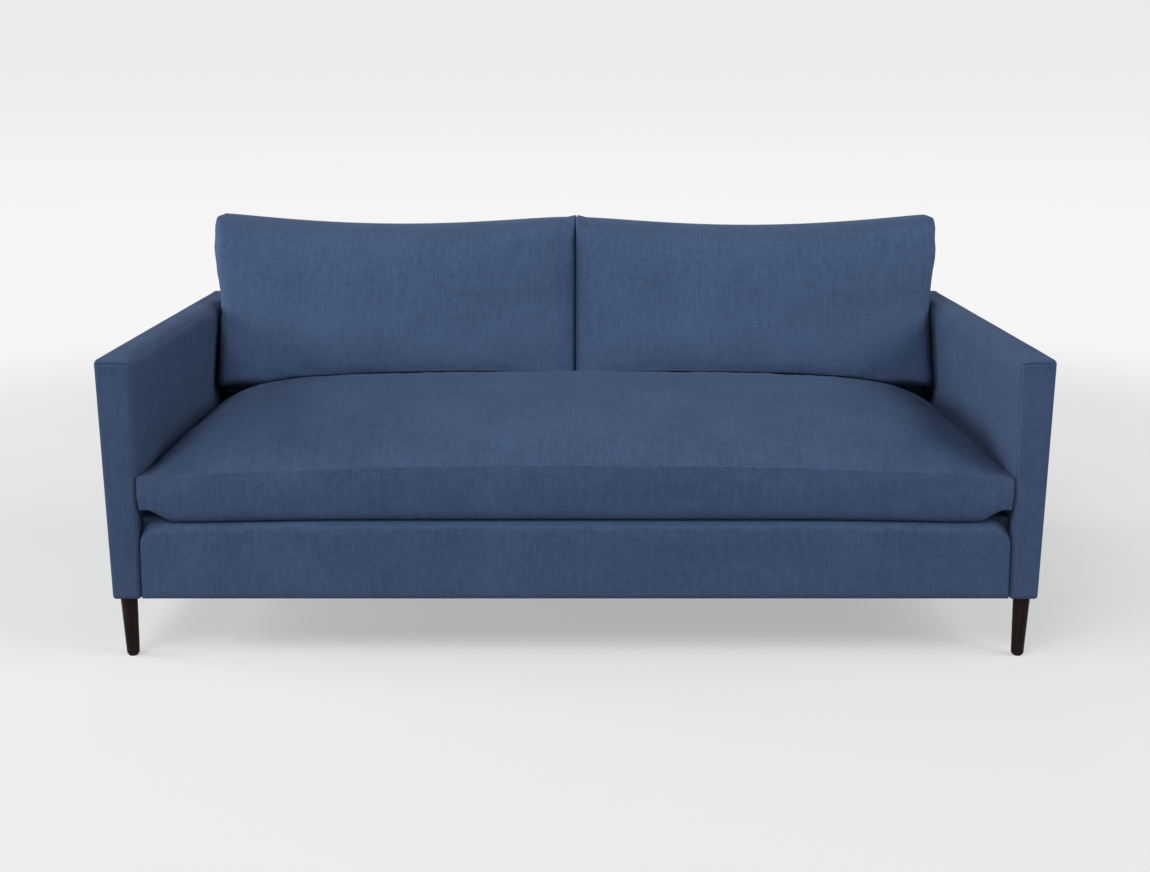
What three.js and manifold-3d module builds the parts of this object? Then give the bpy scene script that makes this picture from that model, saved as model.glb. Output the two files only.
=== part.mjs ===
// A tuxedo sofa with one bench seat cushion and two loose back cushions.
// Millimetres. +X runs along the sofa's width, the front faces -Y and +Z is up.
// The origin is at the middle of the sofa's footprint, on the floor.

import * as THREE from 'three';
import * as BufferGeometryUtils from 'three/addons/utils/BufferGeometryUtils.js';
import Module from 'manifold-3d';

const wasm = await Module();
wasm.setup();

// Overall sizes
const sofaWidth = 2000;
const sofaDepth = 1010;
const armHeight = 665;
const bodyClearance = 140;
const armTopThickness = 74.5;
const armFootThickness = 58.5;
const armTopRadius = 11;
const armFootRadius = 7;
const armFrontRadius = 10;
const coverThickness = 3;
const seatGap = 0.3;
const cutOverrun = 20;

// Timber frame
const armFrameThickness = 32;
const armOuterPadding = 8;
const armTopPadding = 12;
const armFrontPadding = 10;
const postDepth = 60;
const armTopRailHeight = 45;
const railTop = 300;
const seatRailThickness = 28;
const borderDepth = 34.4;
const dustCoverThickness = 1.5;
const stretcherWidth = 45;
const stretcherHeight = 60;
const stretcherDrop = 40;
const cornerBlockLeg = 70;
const cornerBlockHeight = 60;
const backFrameThickness = 32;
const backTopRailHeight = 60;
const backLowerRailHeight = 50;
const backLowerRailLift = 34;
const backUprightWidth = 50;

// Legs, their bolts and their glides
const legInset = 26;
const legTopRadius = 17.75;
const legFootRadius = 13.5;
const legShoulderDrop = 8;
const boltRadius = 4;
const boltClearance = 0.3;
const boltDepthInLeg = 30;
const boltDepthInPost = 32;
const glideHeight = 5;
const glideRadius = 11;
const glidePinRadius = 2.4;
const glidePinLength = 14;

// Springs, webbing and deck
const springCount = 8;
const springWire = 3.8;
const springAmplitude = 24;
const springWaves = 10;
const feltThickness = 8;
const deckClothThickness = 2;
const webbingThickness = 2.1;
const webbingStripWidth = 50;
const webbingColumns = 9;
const webbingRows = 3;

// Inside face of the back, which leans
const backFootThickness = 215;
const backTopThickness = 90;
const backTopRadius = 18;

// Front border
const borderTopRadius = 48;
const borderFootRadius = 3;
const borderFrontRadius = 10;

// Seat cushion
const seatSideGap = 4;
const seatFrontSetback = 2;
const seatCornerSeamTop = 411;
const seatFrontSeamRise = 26.5;
const seatCrown = 100;
const seatBottomSeam = 362;
const seatBottomSeamDrop = 23;
const seatSideDrawIn = 4;
const seatFrontRoll = 25;
const seatCornerLift = 86;

// Back cushions
const backCushionTop = 888;
const backCushionTopDip = 29;
const backCushionCornerFoot = 460;
const backCushionEdge = 185;
const backCushionCrown = 36;
const backCushionRearRoll = 16;
const backCushionCentreGap = 1;
const backCushionSideGap = 8;
const backCushionEar = 22;
const backCushionEarLift = 6;
const backCushionEarRise = 110;
const backCushionCornerRadius = 16;
const backCushionEdgeRoll = 14;
const backCushionSideRoll = 9;
const backCushionInnerRadius = 10;
const backCushionRest = 3;

// Fillings of the loose cushions
const coreClearance = 0.7;

// Places that follow from the sizes above
const halfWidth = sofaWidth / 2;
const frontY = -sofaDepth / 2;
const outsideBackY = sofaDepth / 2;
const rearY = outsideBackY - coverThickness - seatGap;
const frameOuterX = halfWidth - coverThickness - armOuterPadding - 2 * seatGap;
const frameInnerX = frameOuterX - armFrameThickness;
const postFrontY = frontY + coverThickness + armFrontPadding + 2 * seatGap;
const frameFootZ = bodyClearance + coverThickness + seatGap;
const armRailTopZ = armHeight - coverThickness - armTopPadding - 2 * seatGap;
const armRailFootZ = armRailTopZ - armTopRailHeight;
const seatRailFootZ = bodyClearance + dustCoverThickness + 2 * seatGap;
const frontRailY = frontY + borderDepth;
const frontRailRearY = frontRailY + seatRailThickness;
const backFootY = outsideBackY - backFootThickness;
const backTopY = outsideBackY - backTopThickness;
const backFrameY = rearY - backFrameThickness;
const webbingY = backFrameY - seatGap - webbingThickness;
const springZ = railTop + seatGap;
const feltZ = springZ + springWire + seatGap;
const deckClothZ = feltZ + feltThickness + seatGap;
const deckTop = deckClothZ + deckClothThickness;
const backSlope = (backTopY - backFootY) / (armHeight - deckTop);
const spanX = frameInnerX - seatGap;

// Inner face of the right arm at a height: the arm is thinner at its foot.
function armInnerX(z) {
  const rise = (z - bodyClearance) / (armHeight - bodyClearance);
  return halfWidth - THREE.MathUtils.lerp(armFootThickness, armTopThickness, rise);
}

// Plane of the inside back at a height.
function insideBackY(z) {
  return backFootY + backSlope * (z - deckTop);
}

// Materials
function material(color, roughness, metalness = 0) {
  return () => new THREE.MeshStandardMaterial({ color, roughness, metalness });
}
const blueFabric = material(0x425573, 0.92);
const darkWood = material(0x241b1a, 0.4);
const paleWood = material(0xc49a6c, 0.7);
const plyWood = material(0xb98f60, 0.7);
const steel = material(0x8f9296, 0.35, 1);
const springSteel = material(0x55585c, 0.45, 1);
const nylon = material(0x1c1c1e, 0.5);
const foam = material(0xe8dfc2, 0.95);
const fibre = material(0xf1efe9, 0.98);
const feltGrey = material(0x8b8a86, 0.98);
const deckGrey = material(0x3a3d44, 0.95);
const dustBlack = material(0x17171a, 0.95);
const jute = material(0xa98c5b, 0.9);
const zipTape = material(0x2c3a52, 0.8);

const sofa = new THREE.Group();

function add(name, geometry, makeMaterial) {
  const mesh = new THREE.Mesh(geometry, makeMaterial());
  mesh.name = name;
  sofa.add(mesh);
  return mesh;
}

// Geometry helpers
function box(x0, x1, y0, y1, z0, z1) {
  const geometry = new THREE.BoxGeometry(x1 - x0, y1 - y0, z1 - z0);
  geometry.translate((x0 + x1) / 2, (y0 + y1) / 2, (z0 + z1) / 2);
  return geometry;
}

// The signed volume tells whether the faces point out, and turns them if not.
function facingOut(points, triangles) {
  let volume = 0;
  for (const [a, b, c] of triangles) {
    volume += points[a].dot(points[b].clone().cross(points[c]));
  }
  const index = volume > 0 ? triangles : triangles.map(([a, b, c]) => [a, c, b]);
  const geometry = new THREE.BufferGeometry().setFromPoints(points);
  geometry.setIndex(index.flat());
  geometry.computeVertexNormals();
  return geometry;
}

// A skin through rings of points that all have the same count, with a fan over each end.
function loft(rings) {
  const count = rings[0].length;
  const triangles = [];
  for (let r = 0; r + 1 < rings.length; r++) {
    for (let i = 0; i < count; i++) {
      const next = (i + 1) % count;
      const a = r * count + i;
      const b = r * count + next;
      const c = (r + 1) * count + next;
      const d = (r + 1) * count + i;
      triangles.push([a, b, c], [a, c, d]);
    }
  }
  const last = (rings.length - 1) * count;
  for (let i = 1; i + 1 < count; i++) {
    triangles.push([0, i + 1, i], [last, last + i, last + i + 1]);
  }
  return facingOut(rings.flat(), triangles);
}

// An outline with rounded corners, from corners that each give [across, up, radius].
const cornerSteps = 4;
function rounded(corners) {
  return corners.flatMap(([x, y, radius], i) => {
    const corner = new THREE.Vector2(x, y);
    const before = corners[(i + corners.length - 1) % corners.length];
    const after = corners[(i + 1) % corners.length];
    const start = new THREE.Vector2(before[0], before[1]).sub(corner).setLength(radius).add(corner);
    const end = new THREE.Vector2(after[0], after[1]).sub(corner).setLength(radius).add(corner);
    return new THREE.QuadraticBezierCurve(start, corner, end).getPoints(cornerSteps);
  });
}

// A padded block whose outline stands in XZ and whose edge is rounded at the front.
const edgeSteps = 3;
function paddedBlock(outline, y0, y1, edgeRadius) {
  const rings = [];
  for (let s = 0; s <= edgeSteps; s++) {
    const turn = (s / edgeSteps) * (Math.PI / 2);
    const inset = edgeRadius * (1 - Math.sin(turn));
    const y = y0 + edgeRadius * (1 - Math.cos(turn));
    rings.push(outline(inset).map((p) => new THREE.Vector3(p.x, y, p.y)));
  }
  rings.push(outline(0).map((p) => new THREE.Vector3(p.x, y1, p.y)));
  return loft(rings);
}

// A closed profile in YZ drawn along X, with both ends then set against the arms.
function betweenArms(profile) {
  const geometry = new THREE.ExtrudeGeometry(new THREE.Shape(profile), {
    depth: 1,
    bevelEnabled: false,
  });
  const basis = new THREE.Matrix4().makeBasis(
    new THREE.Vector3(0, 1, 0),
    new THREE.Vector3(0, 0, 1),
    new THREE.Vector3(1, 0, 0),
  );
  geometry.applyMatrix4(basis);
  const position = geometry.attributes.position;
  for (let i = 0; i < position.count; i++) {
    const side = position.getX(i) > 0 ? 1 : -1;
    position.setX(i, side * (armInnerX(position.getZ(i)) - seatGap));
  }
  return geometry;
}

// A flat outline in XY drawn upwards.
function plate(points, z0, z1) {
  const shape = new THREE.Shape(points);
  const geometry = new THREE.ExtrudeGeometry(shape, { depth: z1 - z0, bevelEnabled: false });
  geometry.translate(0, 0, z0);
  return geometry;
}

function turned(profile, sides) {
  const points = profile.map(([radius, height]) => new THREE.Vector2(radius, height));
  const geometry = new THREE.LatheGeometry(points, sides);
  geometry.rotateX(Math.PI / 2);
  return geometry;
}

function toSolid(geometry) {
  const bare = geometry.clone();
  bare.deleteAttribute('normal');
  bare.deleteAttribute('uv');
  const merged = BufferGeometryUtils.mergeVertices(bare);
  return new wasm.Manifold(new wasm.Mesh({
    numProp: 3,
    vertProperties: new Float32Array(merged.attributes.position.array),
    triVerts: new Uint32Array(merged.index.array),
  }));
}

// A body with other bodies cut out of it.
function cut(body, tools) {
  let solid = toSolid(body);
  for (const tool of tools) {
    solid = solid.subtract(toSolid(tool));
  }
  const mesh = solid.getMesh();
  const geometry = new THREE.BufferGeometry();
  geometry.setAttribute('position', new THREE.BufferAttribute(mesh.vertProperties, 3));
  geometry.setIndex(new THREE.BufferAttribute(mesh.triVerts, 1));
  geometry.computeVertexNormals();
  return geometry;
}

// The same body on the other side of the sofa.
function mirrored(geometry) {
  const twin = geometry.clone();
  const flat = twin.index ? twin.toNonIndexed() : twin;
  const position = flat.attributes.position;
  const points = [];
  for (let i = 0; i < position.count; i++) {
    points.push(new THREE.Vector3(-position.getX(i), position.getY(i), position.getZ(i)));
  }
  const triangles = [];
  for (let i = 0; i < position.count; i += 3) {
    triangles.push([i, i + 2, i + 1]);
  }
  return facingOut(points, triangles);
}

function addPair(name, geometry, makeMaterial) {
  add(`${name}_right`, geometry, makeMaterial);
  add(`${name}_left`, mirrored(geometry), makeMaterial);
}

// Legs: a turned taper with a bore for its hanger bolt above and for its glide below
const legFootZ = glideHeight + seatGap;
const legTopZ = bodyClearance - seatGap;
const boreRadius = boltRadius + boltClearance;
const pinBoreRadius = glidePinRadius + boltClearance;
const pinTopZ = legFootZ + glidePinLength;
const boltFootZ = legTopZ - boltDepthInLeg;
const boltTopZ = frameFootZ + boltDepthInPost;
const turnedSides = 16;
const smallSides = 10;
const glideRimShare = 0.8;

const legProfile = [
  [0, pinTopZ + boltClearance],
  [pinBoreRadius, pinTopZ + boltClearance],
  [pinBoreRadius, legFootZ],
  [legFootRadius, legFootZ],
  [legTopRadius, legTopZ - legShoulderDrop],
  [legTopRadius, legTopZ],
  [boreRadius, legTopZ],
  [boreRadius, boltFootZ - boltClearance],
  [0, boltFootZ - boltClearance],
];
const boltProfile = [
  [0, boltFootZ],
  [boltRadius, boltFootZ],
  [boltRadius, boltTopZ],
  [0, boltTopZ],
];
const glideProfile = [
  [0, 0],
  [glideRadius * glideRimShare, 0],
  [glideRadius, glideHeight / 2],
  [glideRadius, glideHeight],
  [glidePinRadius, glideHeight],
  [glidePinRadius, pinTopZ],
  [0, pinTopZ],
];
const legPlaces = {
  front_left: [-1, -1],
  front_right: [1, -1],
  rear_left: [-1, 1],
  rear_right: [1, 1],
};
for (const [corner, [sideX, sideY]] of Object.entries(legPlaces)) {
  const x = sideX * (halfWidth - legInset);
  const y = sideY * (sofaDepth / 2 - legInset);
  add(`leg_${corner}`, turned(legProfile, turnedSides), darkWood).position.set(x, y, 0);
  add(`leg_bolt_${corner}`, turned(boltProfile, smallSides), steel).position.set(x, y, 0);
  add(`glide_${corner}`, turned(glideProfile, smallSides), nylon).position.set(x, y, 0);
}

// Arm frames: two posts, a side rail between their feet and a rail across their tops
const boltBore = turned([
  [0, bodyClearance - cutOverrun],
  [boreRadius, bodyClearance - cutOverrun],
  [boreRadius, boltTopZ + boltClearance],
  [0, boltTopZ + boltClearance],
], smallSides);
const legX = halfWidth - legInset;
const legFrontY = frontY + legInset;
const legRearY = outsideBackY - legInset;
const frontBore = boltBore.clone().translate(legX, legFrontY, 0);
const rearBore = boltBore.clone().translate(legX, legRearY, 0);

const postTopZ = armRailFootZ - seatGap;
const frontPostRearY = postFrontY + postDepth;
const rearPostFrontY = rearY - postDepth;
const frontPost = box(frameInnerX, frameOuterX, postFrontY, frontPostRearY, frameFootZ, postTopZ);
const rearPost = box(frameInnerX, frameOuterX, rearPostFrontY, rearY, frameFootZ, postTopZ);
addPair('arm_post_front', cut(frontPost, [frontBore]), paleWood);
addPair('arm_post_rear', cut(rearPost, [rearBore]), paleWood);

const sideRailY0 = frontPostRearY + seatGap;
const sideRailY1 = rearPostFrontY - seatGap;
const sideRail = box(frameInnerX, frameOuterX, sideRailY0, sideRailY1, frameFootZ, railTop);
const armTopRail = box(frameInnerX, frameOuterX, postFrontY, rearY, armRailFootZ, armRailTopZ);
addPair('side_rail', sideRail, paleWood);
addPair('arm_top_rail', armTopRail, paleWood);

// Seat rails, the stretcher between them and the glued blocks in their corners
const frontRail = box(-spanX, spanX, frontRailY, frontRailRearY, seatRailFootZ, railTop);
const rearRail = box(-spanX, spanX, backFrameY, rearY, seatRailFootZ, railTop);
add('front_rail', frontRail, paleWood);
add('rear_rail', rearRail, paleWood);

const stretcherHalf = stretcherWidth / 2;
const stretcherTop = railTop - stretcherDrop;
const stretcherY0 = frontRailRearY + seatGap;
const stretcherY1 = backFrameY - seatGap;
const stretcherZ0 = stretcherTop - stretcherHeight;
const stretcher = box(-stretcherHalf, stretcherHalf, stretcherY0, stretcherY1, stretcherZ0, stretcherTop);
add('center_stretcher', stretcher, paleWood);

function cornerBlock(y, direction) {
  const outline = [
    new THREE.Vector2(spanX, y),
    new THREE.Vector2(spanX - cornerBlockLeg, y),
    new THREE.Vector2(spanX, y + direction * cornerBlockLeg),
  ];
  return plate(outline, stretcherTop - cornerBlockHeight, stretcherTop);
}
addPair('corner_block_front', cornerBlock(stretcherY0, 1), plyWood);
addPair('corner_block_rear', cornerBlock(stretcherY1, -1), plyWood);

// Back frame: a rail along the top, a rail above the deck and an upright between them
const lowerRailZ0 = railTop + backLowerRailLift;
const lowerRailZ1 = lowerRailZ0 + backLowerRailHeight;
const backRailZ0 = armRailTopZ - backTopRailHeight;
const uprightHalf = backUprightWidth / 2;
const uprightZ0 = lowerRailZ1 + seatGap;
const uprightZ1 = backRailZ0 - seatGap;
add('back_lower_rail', box(-spanX, spanX, backFrameY, rearY, lowerRailZ0, lowerRailZ1), paleWood);
add('back_top_rail', box(-spanX, spanX, backFrameY, rearY, backRailZ0, armRailTopZ), paleWood);
const upright = box(-uprightHalf, uprightHalf, backFrameY, rearY, uprightZ0, uprightZ1);
add('back_center_upright', upright, paleWood);

// Serpentine seat springs: a zigzag of wire drawn flat from the front rail to the rear rail
const springFrontY = frontRailY + seatRailThickness / 2;
const springRearY = backFrameY + backFrameThickness / 2;
const springPitch = (2 * spanX) / springCount;
const springBendShare = 0.18;
const leastMiterShare = 0.2;
function springOutline(x) {
  const wave = (springRearY - springFrontY) / springWaves;
  const path = [new THREE.Vector2(x, springFrontY)];
  for (let w = 0; w < springWaves; w++) {
    const side = w % 2 === 0 ? 1 : -1;
    const start = springFrontY + w * wave;
    path.push(new THREE.Vector2(x + side * springAmplitude, start + springBendShare * wave));
    path.push(new THREE.Vector2(x + side * springAmplitude, start + wave - springBendShare * wave));
  }
  path.push(new THREE.Vector2(x, springRearY));
  const left = [];
  const right = [];
  path.forEach((point, i) => {
    const into = point.clone().sub(path[Math.max(i - 1, 0)]).normalize();
    const out = path[Math.min(i + 1, path.length - 1)].clone().sub(point).normalize();
    const mean = into.clone().add(out).normalize();
    const along = Math.max(mean.dot(into), mean.dot(out), leastMiterShare);
    const half = springWire / 2 / along;
    left.push(new THREE.Vector2(point.x - mean.y * half, point.y + mean.x * half));
    right.unshift(new THREE.Vector2(point.x + mean.y * half, point.y - mean.x * half));
  });
  return [...left, ...right];
}
for (let i = 0; i < springCount; i++) {
  const x = -spanX + (i + 0.5) * springPitch;
  add(`seat_spring_${i + 1}`, plate(springOutline(x), springZ, springZ + springWire), springSteel);
}

// Back webbing: crossed strips, tacked to the front of the back rails
const webbingEnd = webbingStripWidth / 2;
const webbingX = spanX - webbingEnd;
const webbingFootZ = lowerRailZ0 + webbingEnd;
const webbingTopZ = armRailTopZ - webbingEnd;
const webbingRearY = webbingY + webbingThickness;
const holePitchX = (2 * webbingX - webbingStripWidth) / (webbingColumns - 1);
const holePitchZ = (webbingTopZ - webbingFootZ - webbingStripWidth) / (webbingRows - 1);
const webbingHoles = [];
for (let c = 0; c + 1 < webbingColumns; c++) {
  for (let r = 0; r + 1 < webbingRows; r++) {
    const x0 = -webbingX + webbingStripWidth + c * holePitchX;
    const z0 = webbingFootZ + webbingStripWidth + r * holePitchZ;
    const x1 = x0 + holePitchX - webbingStripWidth;
    const z1 = z0 + holePitchZ - webbingStripWidth;
    webbingHoles.push(box(x0, x1, webbingY - cutOverrun, webbingRearY + cutOverrun, z0, z1));
  }
}
const webbingSheet = box(-webbingX, webbingX, webbingY, webbingRearY, webbingFootZ, webbingTopZ);
add('back_webbing', cut(webbingSheet, webbingHoles), jute);

// Arms: a fabric cover, open where the seat and back rails reach the posts, over a foam jacket
function armOutline(inset) {
  const foot = bodyClearance + inset;
  const top = armHeight - inset;
  const topRadius = Math.max(armTopRadius - inset, seatGap);
  const footRadius = Math.max(armFootRadius - inset, seatGap);
  return rounded([
    [halfWidth - inset, foot, footRadius],
    [halfWidth - inset, top, topRadius],
    [armInnerX(armHeight) + inset, top, topRadius],
    [armInnerX(bodyClearance) + inset, foot, footRadius],
  ]);
}
function armBlock(inset, endY) {
  const outline = (extra) => armOutline(inset + extra);
  return paddedBlock(outline, frontY + inset, endY, armFrontRadius - inset / 2);
}
const seatRailCut = box(0, spanX, frontRailY - seatGap, rearY + cutOverrun, 0, railTop + seatGap);
const backRailTopCut = armRailTopZ + seatGap;
const backRailCut = box(0, spanX, webbingY - seatGap, rearY + cutOverrun, 0, backRailTopCut);
const foamInset = coverThickness + seatGap;
const armCover = cut(armBlock(0, rearY), [
  armBlock(coverThickness, rearY + cutOverrun),
  seatRailCut,
  backRailCut,
  frontBore,
  rearBore,
]);
const armFrameSpace = box(
  spanX,
  frameOuterX + seatGap,
  postFrontY - seatGap,
  rearY + cutOverrun,
  0,
  armRailTopZ + seatGap,
);
const armFoam = cut(armBlock(foamInset, rearY), [armFrameSpace, seatRailCut, backRailCut]);
addPair('arm_cover', armCover, blueFabric);
addPair('arm_foam', armFoam, foam);

// Front border: a padded board between the arms, level with the deck
function borderOutline(inset) {
  const foot = bodyClearance + inset;
  const top = deckTop - inset;
  const topX = armInnerX(deckTop) - seatGap - inset;
  const footX = armInnerX(bodyClearance) - seatGap - inset;
  const topRadius = Math.max(borderTopRadius - inset, seatGap);
  const footRadius = Math.max(borderFootRadius - inset, seatGap);
  return rounded([
    [-footX, foot, footRadius],
    [footX, foot, footRadius],
    [topX, top, topRadius],
    [-topX, top, topRadius],
  ]);
}
function borderBlock(inset, endY) {
  const outline = (extra) => borderOutline(inset + extra);
  return paddedBlock(outline, frontY + inset, endY, borderFrontRadius - inset / 2);
}
const borderRearY = frontRailY - seatGap;
const borderCover = cut(borderBlock(0, borderRearY), [
  borderBlock(coverThickness, borderRearY + cutOverrun),
]);
add('front_border_cover', borderCover, blueFabric);
add('border_foam', borderBlock(foamInset, borderRearY), foam);

// Deck: felt over the springs and a plain cloth over the felt
const deckX = armInnerX(deckTop) - seatGap;
add('deck_felt', box(-deckX, deckX, frontRailY, webbingY - seatGap, feltZ, feltZ + feltThickness), feltGrey);
add('deck_cloth', box(-deckX, deckX, frontRailY, webbingY - seatGap, deckClothZ, deckTop), deckGrey);

// Dust cover, stapled under the rails
const dustZ = bodyClearance + seatGap;
const dustTop = dustZ + dustCoverThickness;
add('dust_cover', box(-spanX, spanX, frontRailY, rearY, dustZ, dustTop), dustBlack);

// Inside back: a cover over the top rail and down the leaning face, with foam behind it
const backFootZ = deckTop + seatGap;
const slant = Math.hypot(1, backSlope);
function behindInsideBack(depth, z) {
  return insideBackY(z) + depth * slant;
}
const innerTopZ = armHeight - coverThickness;
const innerTopRadius = backTopRadius - coverThickness;
const insideBackProfile = [
  ...rounded([
    [rearY, armHeight, seatGap],
    [insideBackY(armHeight), armHeight, backTopRadius],
    [insideBackY(backFootZ), backFootZ, seatGap],
    [behindInsideBack(coverThickness, backFootZ), backFootZ, seatGap],
    [behindInsideBack(coverThickness, innerTopZ), innerTopZ, innerTopRadius],
    [rearY, innerTopZ, seatGap],
  ]),
];
add('inside_back_cover', betweenArms(insideBackProfile), blueFabric);

const backFoamTopZ = innerTopZ - seatGap;
const backFoamRearY = webbingY - seatGap;
const backFoamProfile = rounded([
  [behindInsideBack(foamInset, backFootZ), backFootZ, seatGap],
  [behindInsideBack(foamInset, backFoamTopZ), backFoamTopZ, innerTopRadius],
  [rearY, backFoamTopZ, seatGap],
  [rearY, backRailTopCut, seatGap],
  [backFoamRearY, backRailTopCut, seatGap],
  [backFoamRearY, backFootZ, seatGap],
]);
add('back_foam', betweenArms(backFoamProfile), foam);

// Outside back: one panel over the whole rear of the sofa
function outsideBackOutline(inset) {
  return rounded([
    [-halfWidth + inset, bodyClearance + inset, armFootRadius],
    [halfWidth - inset, bodyClearance + inset, armFootRadius],
    [halfWidth - inset, armHeight - inset, armTopRadius],
    [-halfWidth + inset, armHeight - inset, armTopRadius],
  ]);
}
const panelEdge = coverThickness / 2;
const panelRings = [
  [0, outsideBackY - coverThickness],
  [0, outsideBackY - panelEdge],
  [panelEdge, outsideBackY],
].map(([inset, y]) => outsideBackOutline(inset).map((p) => new THREE.Vector3(p.x, y, p.y)));
add('outside_back_cover', loft(panelRings), blueFabric);

// Loose cushions: a grid over the surface of a unit box, each of whose points is placed by a formula
function cushionGrid(levels, place) {
  const counts = levels.map((list) => list.length - 1);
  const numbers = new Map();
  const points = [];
  const at = (...cell) => {
    const key = cell.join();
    if (!numbers.has(key)) {
      numbers.set(key, points.length);
      points.push(place(...cell.map((step, axis) => levels[axis][step])));
    }
    return numbers.get(key);
  };
  const quads = [];
  for (let axis = 0; axis < 3; axis++) {
    const [first, second] = [(axis + 1) % 3, (axis + 2) % 3];
    for (const end of [0, counts[axis]]) {
      for (let i = 0; i < counts[first]; i++) {
        for (let j = 0; j < counts[second]; j++) {
          const corners = [[i, j], [i + 1, j], [i + 1, j + 1], [i, j + 1]].map(([s, t]) => {
            const cell = [0, 0, 0];
            cell[axis] = end;
            cell[first] = s;
            cell[second] = t;
            return at(...cell);
          });
          const face = end === 0 ? corners.reverse() : corners;
          quads.push({ face, axis, end, first: i, second: j });
        }
      }
    }
  }
  return { points, quads, at, counts };
}

// The grid drawn in along its own normals.
function drawnIn(grid, depth) {
  const normals = grid.points.map(() => new THREE.Vector3());
  for (const { face } of grid.quads) {
    const [a, b, c, d] = face.map((n) => grid.points[n]);
    const normal = c.clone().sub(a).cross(d.clone().sub(b)).normalize();
    face.forEach((n) => normals[n].add(normal));
  }
  return grid.points.map((p, n) => p.clone().addScaledVector(normals[n].normalize(), -depth));
}

function quadTriangles(quads) {
  return quads.flatMap(([a, b, c, d]) => [[a, b, c], [a, c, d]]);
}

// A cover is the grid's skin with its own thickness, open along a slit for the zip.
function cushionCover(grid, isSlit) {
  const count = grid.points.length;
  const inner = drawnIn(grid, coverThickness);
  const kept = grid.quads.filter((quad) => !isSlit(quad)).map((quad) => quad.face);
  const gone = grid.quads.filter(isSlit).map((quad) => quad.face);
  const edges = gone.flatMap((face) => face.map((n, i) => [n, face[(i + 1) % 4]]));
  const rim = edges.filter(([a, b]) => !edges.some(([c, d]) => c === b && d === a));
  const walls = rim.map(([a, b]) => [a, b, b + count, a + count]);
  const skin = quadTriangles(kept);
  const lining = skin.map(([a, b, c]) => [a + count, c + count, b + count]);
  return facingOut([...grid.points, ...inner], [...skin, ...lining, ...quadTriangles(walls)]);
}

function cushionCore(grid) {
  const points = drawnIn(grid, coverThickness + coreClearance);
  return facingOut(points, quadTriangles(grid.quads.map((quad) => quad.face)));
}

// The zip fills the slit, with a gap all round, from one column of the grid to another.
function cushionZip(grid, vEnd, fromColumn, toColumn, band) {
  const inner = drawnIn(grid, coverThickness);
  const rings = [];
  for (let i = fromColumn; i <= toColumn; i++) {
    const low = grid.at(i, vEnd, band);
    const high = grid.at(i, vEnd, band + 1);
    const shrink = seatGap / grid.points[low].distanceTo(grid.points[high]);
    const side = [grid.points, inner].map((list) => [
      list[low].clone().lerp(list[high], shrink),
      list[high].clone().lerp(list[low], shrink),
    ]);
    rings.push([side[0][0], side[0][1], side[1][1], side[1][0]]);
  }
  for (const [end, next] of [[0, 1], [rings.length - 1, rings.length - 2]]) {
    rings[end] = rings[end].map((point, n) => {
      const share = seatGap / point.distanceTo(rings[next][n]);
      return point.clone().lerp(rings[next][n], share);
    });
  }
  return loft(rings);
}

// A quarter turn of a rolled edge: 0 at the edge, 1 from one roll inwards.
function roll(distance, size) {
  const left = 1 - Math.min(Math.max(distance / size, 0), 1);
  return Math.sqrt(1 - left * left);
}

// An even rise from 0 to 1, level at both ends.
function smooth(share) {
  return THREE.MathUtils.smoothstep(share, 0, 1);
}

// Seat cushion: boxed sides, a crowned top and a flat underside that is drawn up at the corners
const seatFrontY = frontY + seatFrontSetback;
const seatRearY = backFootY - seatGap;
const seatMiddleY = (seatFrontY + seatRearY) / 2;
const seatHalfDepth = (seatRearY - seatFrontY) / 2;
const seatHalfWidth = armInnerX(seatCornerSeamTop) - seatSideGap;
const seatFootZ = deckTop + seatGap;
const seamPower = 2.2;
const seatCrownAcrossPower = 10;
const seatCrownDeepPower = 3;
const bottomSeamPower = 3;

function seatTopZ(x, y) {
  const u = Math.min(Math.abs(x) / seatHalfWidth, 1);
  const v = Math.min(Math.abs(y - seatMiddleY) / seatHalfDepth, 1);
  const seam = seatCornerSeamTop + seatFrontSeamRise * (1 - u ** seamPower);
  return seam + seatCrown * (1 - u ** seatCrownAcrossPower) * (1 - v ** seatCrownDeepPower);
}

function seatFootAt(x, y) {
  const u = Math.min(Math.abs(x) / seatHalfWidth, 1);
  const fromSide = seatHalfWidth - Math.abs(x);
  const fromEnd = seatHalfDepth - Math.abs(y - seatMiddleY);
  const seam = seatBottomSeam - seatBottomSeamDrop * u ** bottomSeamPower;
  const settled = smooth(fromSide / seatCornerLift) * roll(fromEnd, seatFrontRoll);
  return THREE.MathUtils.lerp(seam, seatFootZ, settled);
}

function placeSeat(u, v, w) {
  const x = u * seatHalfWidth;
  const y = seatMiddleY + v * seatHalfDepth;
  const z = THREE.MathUtils.lerp(seatFootAt(x, y), seatTopZ(x, y), (w + 1) / 2);
  const drawn = u * seatSideDrawIn * (1 - v * v);
  return new THREE.Vector3(x - drawn, y, z);
}

// The levels run from the middle of the cushion to its edge, as shares of its half size.
const lipShare = 0.33;
const cornerShare = 1 - seatCornerLift / seatHalfWidth;
const sideEdgeShare = 1 - seatFrontRoll / seatHalfWidth;
const frontRollShare = 1 - seatFrontRoll / seatHalfDepth;
const frontLipShare = 1 - (lipShare * seatFrontRoll) / seatHalfDepth;
const seatAcrossShares = [0.22, 0.44, 0.64, 0.81, cornerShare, sideEdgeShare, 1];
const seatDepthShares = [0.18, 0.52, 0.8, frontRollShare, frontLipShare, 1];
const zipBandShare = 0.14;
const bandShares = [-1, -zipBandShare, zipBandShare, 1];

function bothWays(shares, withMiddle) {
  const negative = shares.map((share) => -share).reverse();
  return withMiddle ? [...negative, 0, ...shares] : [...negative, ...shares];
}

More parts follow.
